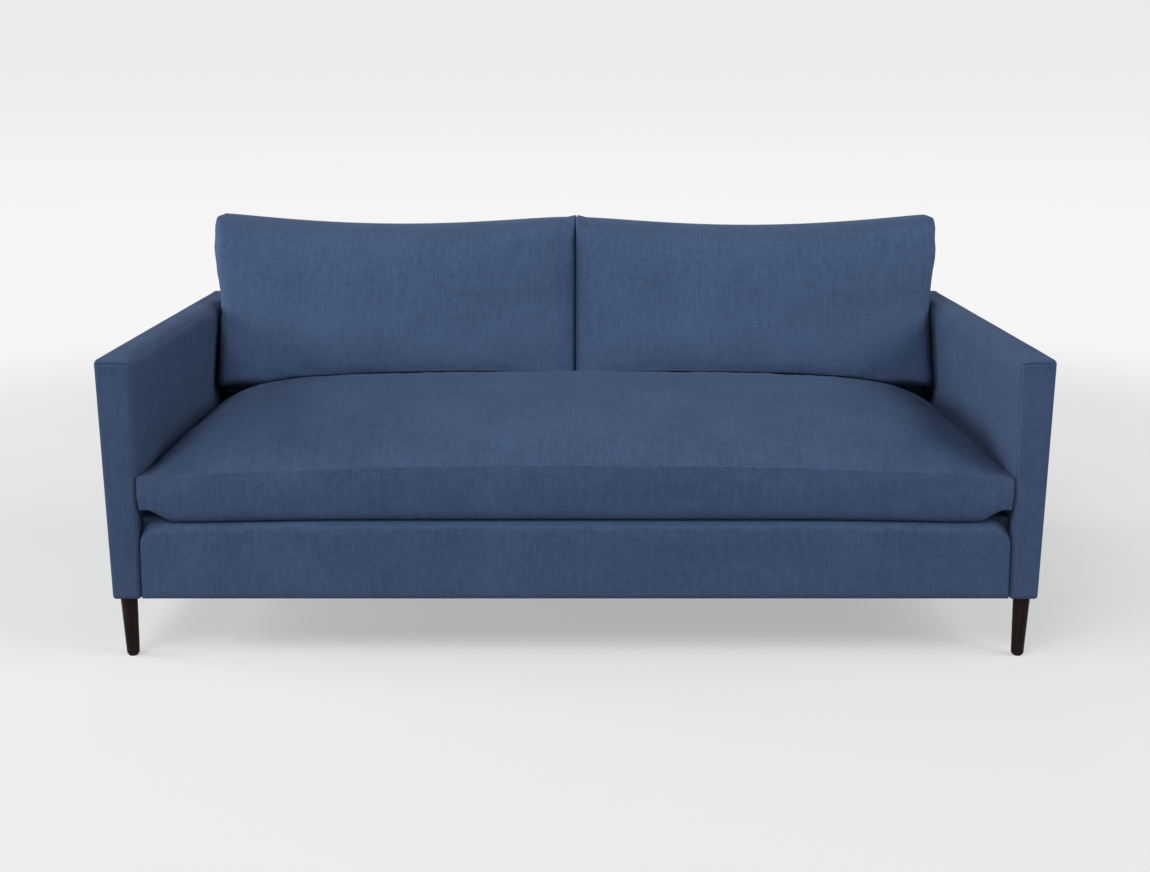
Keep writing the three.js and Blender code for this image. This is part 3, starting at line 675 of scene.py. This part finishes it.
def arm_is_open(at, out):
    if out.y > 0.9:
        return True
    is_under_seat = at.x < rail_edge - 0.004 and rail_front < at.y
    return is_under_seat and (at.z < rail_top and out.x < -0.5 or out.z < -0.9)


remove_faces(arm_right, arm_is_open)
unrolled(arm_right)
given_thickness(arm_right, cover_thickness)
arm_left = other_side(arm_right, "padded_arm_left")
# Painted shade: the left arm's cover takes a darker copy of the same blue cloth, standing for the
# shade it lies in.
painted_shade_cloth = cloth_blue("blue_fabric_painted_shade", (0.0215, 0.0374, 0.0757), (0.0406, 0.066, 0.1283))
for arm, side, cloth in ((arm_right, "right", blue_fabric), (arm_left, "left", painted_shade_cloth)):
    arm.data.materials.append(cloth)
    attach(arm, "frame")
    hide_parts(f"arm_cover_{side}")


foam_setback = 0.0032


def arm_foam_place(u, v, w):
    x, y, z = arm_place(0.9 * u, v, 0.988 * w)
    return x, y + (foam_setback if v == -1 else 0), z


def hollowed(piece, low, high):
    bpy.ops.object.select_all(action="DESELECT")
    bpy.ops.mesh.primitive_cube_add(size=1)
    space = bpy.context.object
    for vertex in space.data.vertices:
        vertex.co = [low[axis] if vertex.co[axis] < 0 else high[axis] for axis in range(3)]
    cut = piece.modifiers.new("cut", "BOOLEAN")
    cut.operation = "DIFFERENCE"
    cut.object = space
    bpy.context.view_layer.objects.active = piece
    bpy.ops.object.modifier_apply(modifier="cut")
    bpy.data.objects.remove(space)


def foam_piece(piece, node):
    piece.data.materials.clear()
    piece.data.materials.append(foam)
    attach(piece, "frame")
    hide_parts(node)


jacket_right = gridded_block(
    "arm_foam_jacket_right",
    cuts(arm_sizes[0], edge_places[::3], edge_places[::3], 0.012),
    cuts(arm_sizes[1], [0, 0.012], [0, 0.01], 0.06),
    cuts(arm_sizes[2], edge_places[::3], edge_places[::3], 0.03),
)
shaped(jacket_right, arm_foam_place)
hollowed(jacket_right, (rail_edge, post_front, past_foot), (post_outer, past_rear, post_top))
hollowed(jacket_right, (past_inner, rail_front, past_foot), (post_inner, past_rear, rail_top))
hollowed(jacket_right, (past_inner, back_rail_front, past_foot), (post_inner, past_rear, post_top))
unrolled(jacket_right)
jacket_left = other_side(jacket_right, "arm_foam_jacket_left")
foam_piece(jacket_right, "arm_foam_right")
foam_piece(jacket_left, "arm_foam_left")

# Front border. A board under the seat's front edge, padded and covered between the arms, with
# generous round corners at its top.
deck_top = 0.3147
border_depth = 0.0341
border_roll = 0.013
border_top_radius, border_foot_radius = 0.048, 0.003
fall_middle, fall_ends_more = 0.008, 0.0065


# The border's top edge rolls forwards a little below the deck, and a little more near the arms.
def front_fall(x, y):
    fall = fall_middle + fall_ends_more * smooth((abs(x) - 0.5) / 0.34)
    return fall * (1 - smooth((y + 0.503) / 0.036))


def border_place(u, v, w):
    z = mixed(base_foot, deck_top, (w + 1) / 2)
    half = arm_inner(z) - cover_gap
    side, end = half * (1 - abs(u)), min(z - base_foot, deck_top - z)
    side, end, edge = softened(side, end, border_top_radius if w > 0 else border_foot_radius)
    x = math.copysign(half - side, u)
    z = deck_top - end if w > 0 else base_foot + end
    y = mixed(front_face + border_roll, front_face + border_depth, (v + 1) / 2)
    if v == -1:
        y = front_face + border_roll * (1 - rolled(edge, border_roll))
        y -= (0.002 + 0.0012 * uneven(x, y, z, 0.13)) * (1 - u**40) * (1 - w**6)
    return x, y, z - front_fall(x, y) * max(w, 0)


border_edge = [0, 0.0007, 0.0022, 0.0045, 0.0075, 0.0105, 0.0135, 0.02, 0.027, 0.034, 0.041, 0.048]
border_sizes = (1.87, 0.0211, 0.1747)
border = shaped(
    gridded_block(
        "padded_border",
        cuts(border_sizes[0], border_edge, border_edge, 0.02),
        cuts(border_sizes[1], [0], [0], 0.005),
        cuts(border_sizes[2], border_edge[:7], border_edge, 0.012),
    ),
    border_place,
)
remove_faces(border, lambda at, out: out.y > 0.9)
unrolled(border)
given_thickness(border, cover_thickness)
border.data.materials.append(blue_fabric)
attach(border, "frame")
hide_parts("front_border_cover")


def border_foam_place(u, v, w):
    x, y, z = border_place(0.996 * u, v, 0.96 * w)
    return x, y + (foam_setback if v == -1 else 0), z


border_slab = gridded_block(
    "border_foam_slab",
    cuts(border_sizes[0], border_edge, border_edge, 0.04),
    cuts(border_sizes[1], [0], [0], 0.011),
    cuts(border_sizes[2], border_edge[:7], border_edge, 0.024),
)
shaped(border_slab, border_foam_place)
unrolled(border_slab)
foam_piece(border_slab, "border_foam")

# Inside back. One padded cover runs up the leaning face of the back and over its top rail, and is
# drawn down tight between the arms.
back_foot_z = 0.315
back_foot_y, back_top_y = 0.29, 0.415
back_slope = (back_top_y - back_foot_y) / (body_top - deck_top)
back_radius = 0.018


def inside_back(z):
    return back_foot_y + back_slope * (z - deck_top)


def back_place(u, v, w):
    z = mixed(back_foot_z, body_top, (w + 1) / 2)
    front = inside_back(z)
    deep = mixed(front, rear_face, (v + 1) / 2)
    side, end, _ = softened(deep - front, body_top - z, back_radius)
    deep, z = front + side, body_top - end
    x = u * (arm_inner(z) - cover_gap)
    swell = 0.002 + 0.001 * uneven(x, deep, z, 0.15)
    if v == -1:
        deep -= swell * (1 - u**20) * (1 - w**8)
    if w == 1:
        z += swell * (1 - u**20) * (1 - v**6)
    return x, deep, z


back_roll = [0, 0.0035, 0.0065, 0.0095, 0.0125, 0.0155, back_radius]
back_sizes = (1.86, 0.087, 0.35)
inside_cover = shaped(
    gridded_block(
        "padded_inside_back",
        cuts(back_sizes[0], [0, 0.006], [0, 0.006], 0.022),
        cuts(back_sizes[1], back_roll, [0], 0.014),
        cuts(back_sizes[2], [0, 0.006], back_roll, 0.018),
    ),
    back_place,
)
remove_faces(inside_cover, lambda at, out: out.y > 0.9 or out.z < -0.9)
unrolled(inside_cover)
given_thickness(inside_cover, cover_thickness)
inside_cover.data.materials.append(blue_fabric)
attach(inside_cover, "frame")
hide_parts("inside_back_cover")


back_setback = 0.0055


def back_foam_place(u, v, w):
    x, y, z = back_place(0.995 * u, v, w)
    return x, y + (back_setback if v == -1 else 0), z - (back_setback if w == 1 else 0)


back_slab = gridded_block(
    "back_foam_slab",
    cuts(back_sizes[0], [0], [0], 0.05),
    cuts(back_sizes[1], back_roll[::2], [0], 0.03),
    cuts(back_sizes[2], [0], back_roll[::2], 0.04),
)
shaped(back_slab, back_foam_place)
hollowed(back_slab, (-1, back_rail_front, 0.2), (1, past_rear, post_top))
unrolled(back_slab)
foam_piece(back_slab, "back_foam")

# Outside back. One flat piece of the same cloth closes the whole rear, with its edges turned under
# and sewn by hand to the arms and the top, and tacked under the rear rail.
panel_half, panel_top = 1.0042, 0.6663
panel_front, panel_thickness = 0.502, 0.003
stitches_from_edge, stitch_depth, stitch_width = 0.009, 0.0008, 0.0014


def outside_place(u, v, w):
    z = mixed(base_foot, panel_top, (w + 1) / 2)
    side, end = panel_half * (1 - abs(u)), min(z - base_foot, panel_top - z)
    side, end, edge = softened(side, end, outer_radius if w > 0 else foot_radius)
    x = math.copysign(panel_half - side, u)
    z = panel_top - end if w > 0 else base_foot + end
    y = panel_front
    if v == 1:
        y = panel_front + panel_thickness * rolled(edge, panel_thickness)
        y -= stitch_depth * pressed(edge - stitches_from_edge, stitch_width)
        y += (0.0014 + 0.0008 * uneven(x, 0, z, 0.2)) * (1 - u**20) * (1 - w**8)
    return x, y, z


outside_edge = [0, 0.0004, 0.0012, 0.0026, 0.005, 0.0072, 0.009, 0.0108, 0.0125]
outside_cover = shaped(
    gridded_block(
        "outside_back_panel",
        cuts(2, outside_edge, outside_edge, 0.022),
        cuts(panel_thickness, [0], [0], 0.002),
        cuts(body_height, outside_edge, outside_edge, 0.02),
    ),
    outside_place,
)
unrolled(outside_cover)
outside_cover.data.materials.append(blue_fabric)
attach(outside_cover, "frame")
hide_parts("outside_back_cover")

# Deck cloth and dust cover. A plain navy cloth is stretched over the felt, under the seat cushion.
# A black unwoven cloth is stapled under the rails and closes the sofa from below.
deck_weave = woven("deck_cloth", (0.009, 0.017, 0.038), (0.026, 0.046, 0.094), 0.0018, 0.92)
deck_half = arm_inner(deck_top) - cover_gap
deck_flat = 0.9374
deck_turned_down = 0.09
deck_thickness = 0.0012
deck_sag = 0.0005
deck_edge_y, turned_down_y, turned_down_top = -0.4706, -0.4712, 0.3145


# The deck's length runs from its rear edge to the rail's front edge, and then down the rail's face.
def deck_place(u, v, w):
    x, along = u * deck_half, mixed(deck_turned_down, -deck_flat, (v + 1) / 2)
    out = deck_thickness * (w - 1) / 2
    if along > 0:
        return x, turned_down_y - deck_thickness - out, turned_down_top - along
    y = deck_edge_y - along
    sag = deck_sag * (1 - u**6) * min(-along / 0.1, 1) * (1 - (along / deck_flat) ** 6)
    return x, y, deck_top + out - sag * (1 + uneven(x, y, 0, 0.1))


deck = shaped(
    gridded_block(
        "stretched_deck",
        cuts(1.87, [0, 0.01], [0, 0.01], 0.03),
        cuts(deck_flat + deck_turned_down, [0, 0.088, deck_turned_down], [0, 0.01], 0.03),
        cuts(deck_thickness, [0], [0], 0.002),
    ),
    deck_place,
)
unrolled(deck)
deck.data.materials.append(deck_weave)
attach(deck, "frame")
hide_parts("deck_cloth")

dust_black = fibrous("dust_cloth", (0.006, 0.006, 0.007), (0.022, 0.022, 0.024), 700)
dust_front, dust_rear = deck_edge_y, rear_face
dust_foot, dust_top = 0.1403, 0.1415


def dust_place(u, v, w):
    x, y = u * rail_edge, mixed(dust_front, dust_rear, (v + 1) / 2)
    sag = 0.001 * uneven(x, y, 0, 0.09) * (1 - u**8) * (1 - v**8)
    return x, y, mixed(dust_foot, dust_top, (w + 1) / 2) + sag


dust = shaped(
    gridded_block(
        "stapled_dust_cover",
        cuts(1.91, [0, 0.01], [0, 0.01], 0.03),
        cuts(0.972, [0, 0.01], [0, 0.01], 0.03),
        cuts(0.0012, [0], [0], 0.002),
    ),
    dust_place,
)
unrolled(dust)
dust.data.materials.append(dust_black)
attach(dust, "frame")
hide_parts("dust_cover")

# Seat cushion. A bench-wide boxed cover with a plain seam round its top panel and another round its
# bottom panel, filled with soft fibre. Its top crowns, and its underside is drawn up at the corners.
seat_front, seat_rear = -0.503, 0.2897
seat_middle = (seat_front + seat_rear) / 2
seat_half_depth = (seat_rear - seat_front) / 2
seat_half = arm_inner(0.431) - 0.004
top_seam, top_seam_arch, seat_crown = 0.411, 0.0265, 0.0955
foot_seam, foot_seam_fall, foot_rest = 0.362, 0.023, 0.3152
foot_flat_from, foot_flat_way, foot_roll = 0.003, 0.066, 0.025


def seat_top(x, y):
    u = min(abs(x) / seat_half, 1)
    v = min(abs(y - seat_middle) / seat_half_depth, 1)
    return top_seam + top_seam_arch * (1 - u**2.2) + seat_crown * (1 - u**10) * (1 - v**3)


def seat_foot(x, y):
    u = min(abs(x) / seat_half, 1)
    seam = foot_seam - foot_seam_fall * u**3
    from_end = seat_half_depth - abs(y - seat_middle)
    flat_share = smooth((seat_half - abs(x) - foot_flat_from) / foot_flat_way)
    return mixed(seam, foot_rest - front_fall(x, y), flat_share * rolled(from_end, foot_roll))


def seat_place(u, v, w):
    x = u * seat_half
    y = seat_middle + v * seat_half_depth
    top, foot = seat_top(x, y), seat_foot(x, y)
    z = mixed(foot, top, (w + 1) / 2)
    way = min(seat_half - abs(x), seat_half_depth - abs(y - seat_middle))
    wander = 0.0016 * uneven(x, y, z, 0.2) + 0.0008 * uneven(x, y, z, 0.08)
    x += u * (0.002 - 0.005 * (1 - v * v))
    if w == 1:
        seam_groove = 0.0012 * pressed(way - 0.004, 0.002)
        z += wander * min(way / 0.05, 1) - seam_groove
    if abs(v) == 1:
        bulge = 0.003 * (1 - w * w) + wander * 0.5 * (1 - w * w)
        top_groove = 0.0009 * pressed(top - z - 0.0035, 0.002)
        foot_groove = 0.0006 * pressed(z - foot - 0.004, 0.003)
        y += math.copysign(bulge - (top_groove + foot_groove), v)
    if abs(u) == 1:
        x += math.copysign(0.0015 * (1 - w * w), u)
    return x, y, z


# The cloth of a filled cover is cut a little large and settles over its filling, while its seams and
# the faces that rest against something stay where they are. No point moves by more than the reach.
cloth_excess = 0.008
cloth_frames = 20
settling_reach = 0.005


def settled(piece, place, is_held):
    held = [number for number, vertex in enumerate(piece.data.vertices) if is_held(*vertex.co)]
    shaped(piece, place)
    start = [vertex.co.copy() for vertex in piece.data.vertices]
    piece.vertex_groups.new(name="held").add(held, 1, "REPLACE")
    cloth = piece.modifiers.new("cloth", "CLOTH")
    settings = cloth.settings
    settings.quality = 5
    settings.mass = 0.3
    settings.tension_stiffness = settings.compression_stiffness = 15
    settings.shear_stiffness = 8
    settings.bending_stiffness = 0.5
    settings.use_pressure = True
    settings.uniform_pressure_force = 0.3
    settings.shrink_min = -cloth_excess
    settings.effector_weights.gravity = 0
    settings.vertex_group_mass = "held"
    for moment in range(1, cloth_frames + 1):
        bpy.context.scene.frame_set(moment)
    bpy.context.view_layer.objects.active = piece
    bpy.ops.object.modifier_apply(modifier="cloth")
    bpy.context.scene.frame_set(1)
    for vertex, first in zip(piece.data.vertices, start):
        move = vertex.co - first
        vertex.co = first + move * (settling_reach / (settling_reach + move.length))
    piece.vertex_groups.clear()


def seat_is_held(u, v, w):
    is_seam = (abs(u) == 1) + (abs(v) == 1) + (abs(w) == 1) > 1
    return is_seam or abs(u) == 1 or w == -1 or v > 0.55


seam_side = [0, 0.0025, 0.005, 0.008, 0.012, 0.018, 0.026, 0.036, 0.05, 0.066]
boxing_side = [0, 0.003, 0.0065, 0.011]
boxing_height = 0.09
seat = gridded_block(
    "filled_seat_cushion",
    cuts(2 * seat_half, seam_side, seam_side, 0.016),
    cuts(2 * seat_half_depth, seam_side, seam_side, 0.016),
    cuts(boxing_height, boxing_side, boxing_side, 0.009),
)
settled(seat, seat_place, seat_is_held)
unrolled(seat)
seat.data.materials.append(blue_fabric)
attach(seat, "seat_cushion")
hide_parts("seat_cushion_cover")


# The fibre is sewn into a lining bag of its own, a little smaller than the cover that it fills.
def filling(bag, body, node):
    unrolled(bag)
    bag.data.materials.append(fibre)
    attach(bag, body)
    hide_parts(node)


bag_grid = [0, 0.01, 0.03]
seat_bag = gridded_block(
    "seat_fibre_bag",
    cuts(2 * seat_half, bag_grid, bag_grid, 0.04),
    cuts(2 * seat_half_depth, bag_grid, bag_grid, 0.04),
    cuts(boxing_height, [0], [0], 0.03),
)
shaped(seat_bag, lambda u, v, w: seat_place(0.985 * u, 0.965 * v, 0.8 * w))
filling(seat_bag, "seat_cushion", "seat_cushion_core")


# A nylon zip closes each cover. Its coil is sewn down the middle of a woven tape, and a steel slider
# with a small pull runs on it.
zip_tape = woven("zip_tape", (0.02, 0.035, 0.075), (0.05, 0.08, 0.15), 0.0012, 0.85, "UV")
zip_coil = fibrous("zip_coil", (0.02, 0.03, 0.06), (0.05, 0.07, 0.13), 900)
tape_width, tape_thickness = 0.025, 0.0008
coil_width, coil_height, coil_pitch, coil_slant = 0.0056, 0.002, 0.0036, 1.2
slider_half_length, slider_half_width, slider_radius = 0.0065, 0.005, 0.0035
pull_half_length, pull_half_width, pull_radius = 0.011, 0.0028, 0.0024
slider_from_end, pull_from_end = 0.03, 0.047


def zip_piece(name, sides, place, finish, body):
    piece = shaped(gridded_block(name, *sides), place)
    unrolled(piece)
    piece.data.materials.append(finish)
    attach(piece, body)
    return piece


def zipped(name, length, body, node, on_cover):
    half = length / 2

    def tape_place(u, v, w):
        return on_cover(u * half, v * tape_width / 2, tape_thickness / 2 + tape_thickness / 2 * w)

    def coil_place(u, v, w):
        slant = coil_slant if v > 0 else -coil_slant
        turn = 0.65 + 0.35 * math.sin(u * half * 2 * math.pi / coil_pitch + slant)
        out = 0.0006 + 0.0011 * w * turn * (1 - 0.5 * v * v)
        return on_cover(u * (half - 0.004), v * coil_width / 2, out)

    def slider_place(u, v, w):
        side, end = slider_half_width * (1 - abs(v)), slider_half_length * (1 - abs(u))
        side, end, edge = softened(side, end, slider_radius)
        return on_cover(
            half - slider_from_end + math.copysign(slider_half_length - end, u),
            math.copysign(slider_half_width - side, v),
            0.0012 + 0.0016 * w * rolled(edge + 0.0004, 0.002),
        )

    def pull_place(u, v, w):
        side, end = pull_half_width * (1 - abs(v)), pull_half_length * (1 - abs(u))
        side, end, _ = softened(side, end, pull_radius)
        return on_cover(
            half - pull_from_end + math.copysign(pull_half_length - end, u),
            math.copysign(pull_half_width - side, v),
            0.0024 + 0.0005 * w,
        )

    tape_sides = (
        cuts(length, [0], [0], 0.02),
        cuts(tape_width, [0], [0], 0.006),
        cuts(tape_thickness, [0], [0], 1),
    )
    tape = zip_piece(f"{name}_tape", tape_sides, tape_place, zip_tape, body)
    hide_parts(node)
    coil_sides = (
        cuts(length, [0], [0], 0.0009),
        cuts(coil_width, [0], [0], 0.002),
        cuts(coil_height, [0], [0], 0.001),
    )
    zip_piece(f"{name}_coil", coil_sides, coil_place, zip_coil, body)
    small = cuts(0.012, [0, 0.001, 0.0025], [0, 0.001, 0.0025], 0.0015)
    small_sides = (small, small, cuts(0.003, [0], [0], 0.001))
    for part, place in (("slider", slider_place), ("pull", pull_place)):
        zip_piece(f"{name}_{part}", small_sides, place, bolt_steel, body)


def on_seat_rear(along, across, out):
    x, y, z = seat_place(along / seat_half, 1, across / 0.05)
    return x, y + out, z


zipped("seat_zip", 1.5, "seat_cushion", "seat_cushion_zip", on_seat_rear)

# Back cushions. Two soft pillows lean on the inside back and stand on the seat cushion's crown. The
# front panel of each cover swells over the filling, and its outer top corner stands out over the arm.
back_side = arm_inner(body_top) - 0.0055
back_inner = 0.0002
back_centre = (back_inner + back_side) / 2
back_half = (back_side - back_inner) / 2
ear_reach = arm_inner(body_top) + 0.0187 - back_side
cushion_foot, cushion_top, top_dip = 0.46, 0.888, 0.029
cushion_middle, cushion_thickness, cushion_crown = 0.085, 0.185, 0.036
foot_corner, outer_corner, inner_corner = 0.015, 0.012, 0.007
cushion_from_back = 0.003


def cushion_place(side, across, up, deep):
    outward = side * across
    from_side = back_half * (1 - abs(outward))
    inward = max(-outward, 0)
    top = cushion_top - top_dip * (1 - outward**2) - 0.0018 * max(outward, 0) ** 12
    top -= 0.003 * (1 - inward**8) if side > 0 else 0
    top -= 0.0065 * inward**8 + 0.0055 * inward**4 * smooth(from_side / 0.03)
    from_end = (top - cushion_foot) * (1 - abs(up)) / 2
    corner = foot_corner if up < 0 else outer_corner if outward > 0 else inner_corner
    from_side, from_end, edge = softened(from_side, from_end, corner)
    z = top - from_end if up > 0 else cushion_foot + from_end
    rise = min(max((z - 0.635) / 0.17, 0), 1)
    outer_share = max(outward, 0) ** 3
    ear = (rise + smooth(rise)) / 2 * ear_reach * outer_share
    spread = (arm_inner(z) - arm_inner(body_top) + 0.0018) * smooth((0.66 - z) / 0.05) * outer_share
    x = back_centre + math.copysign(back_half - from_side, outward) + ear + spread
    end_size, end_thickness = (0.036, 0.2) if up > 0 else (0.028, 0.5)
    end_share = mixed(end_thickness, 1, rolled(from_end, end_size))
    side_size, side_thickness = (0.03, 0.45) if outward > 0 else (0.011, 0.82)
    front_share = mixed(side_thickness, 1, rolled(from_side, side_size)) * end_share
    if outward < 0:
        front_share *= 1 - (0.08 if side > 0 else 0.2) * (1 - smooth(from_side / 0.085))
    rear_share = mixed(0.65, 1, rolled(from_side, 0.028)) * end_share
    crown = cushion_crown * (1 - abs(outward) ** 3) * (1 - abs(up) ** 3)
    front = cushion_middle + (cushion_thickness + crown - cushion_middle) * front_share
    depth = mixed((cushion_middle - 0.002) * (1 - rear_share), front, (deep + 1) / 2)
    if deep == 1:
        wander = 0.0016 * uneven(side * x, depth, z, 0.18) + 0.0007 * uneven(side * x, depth, z, 0.07)
        depth += wander
    y = inside_back(z) - cushion_from_back - depth
    nested = (0.0015 + 0.003 * smooth((0.115 - depth) / 0.045)) * smooth(-1.4 * outward - 0.2)
    return side * x + nested, y, max(z, seat_top(x, y) + 0.003 + 0.006 * (1 + min(up, 0)))


cushion_edge = [0, 0.0008, 0.0025, 0.005, 0.008, 0.0115, 0.0155, 0.021, 0.028, 0.038]
cushion_sizes = (2 * back_half, 0.4, 0.2)


def back_cushion(name, side):
    cushion = gridded_block(
        name,
        cuts(cushion_sizes[0], cushion_edge, cushion_edge, 0.013),
        cuts(cushion_sizes[1], cushion_edge, cushion_edge, 0.013),
        cuts(cushion_sizes[2], [0, 0.008, 0.018], [0, 0.008, 0.018], 0.014),
    )
    settled(
        cushion,
        lambda across, up, deep: cushion_place(side, across, up, deep),
        lambda across, up, deep: abs(across) == 1 or abs(up) == 1 or deep == -1,
    )
    unrolled(cushion)
    return cushion


cushion_right = back_cushion("filled_back_cushion_right", 1)
cushion_left = back_cushion("filled_back_cushion_left", -1)
# Painted light: the back cushions take a lighter copy of the blue cloth, which is made lighter still
# towards their foot.
painted_light_cloth = cloth_blue(
    "blue_fabric_painted_light", (0.0245, 0.0428, 0.0865), (0.048, 0.0785, 0.153), painted_foot_light=0.38
)
for cushion, side in ((cushion_right, "right"), (cushion_left, "left")):
    cushion.data.materials.append(painted_light_cloth)
    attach(cushion, f"back_cushion_{side}")
    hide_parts(f"back_cushion_cover_{side}")

for side, sign in (("right", 1), ("left", -1)):
    body = f"back_cushion_{side}"
    back_bag = gridded_block(
        f"back_fibre_bag_{side}",
        cuts(cushion_sizes[0], bag_grid, bag_grid, 0.035),
        cuts(cushion_sizes[1], bag_grid, bag_grid, 0.035),
        cuts(cushion_sizes[2], [0], [0], 0.05),
    )
    shaped(back_bag, lambda u, v, w: cushion_place(sign, 0.965 * u, 0.92 * v, 0.8 * w))
    filling(back_bag, body, f"back_cushion_core_{side}")

    def on_foot(along, across, out):
        x, y, z = cushion_place(sign, along / back_half, -1, across / 0.1)
        return x, y, z - out

    zipped(f"back_zip_{side}", 0.57, body, f"back_cushion_zip_{side}", on_foot)
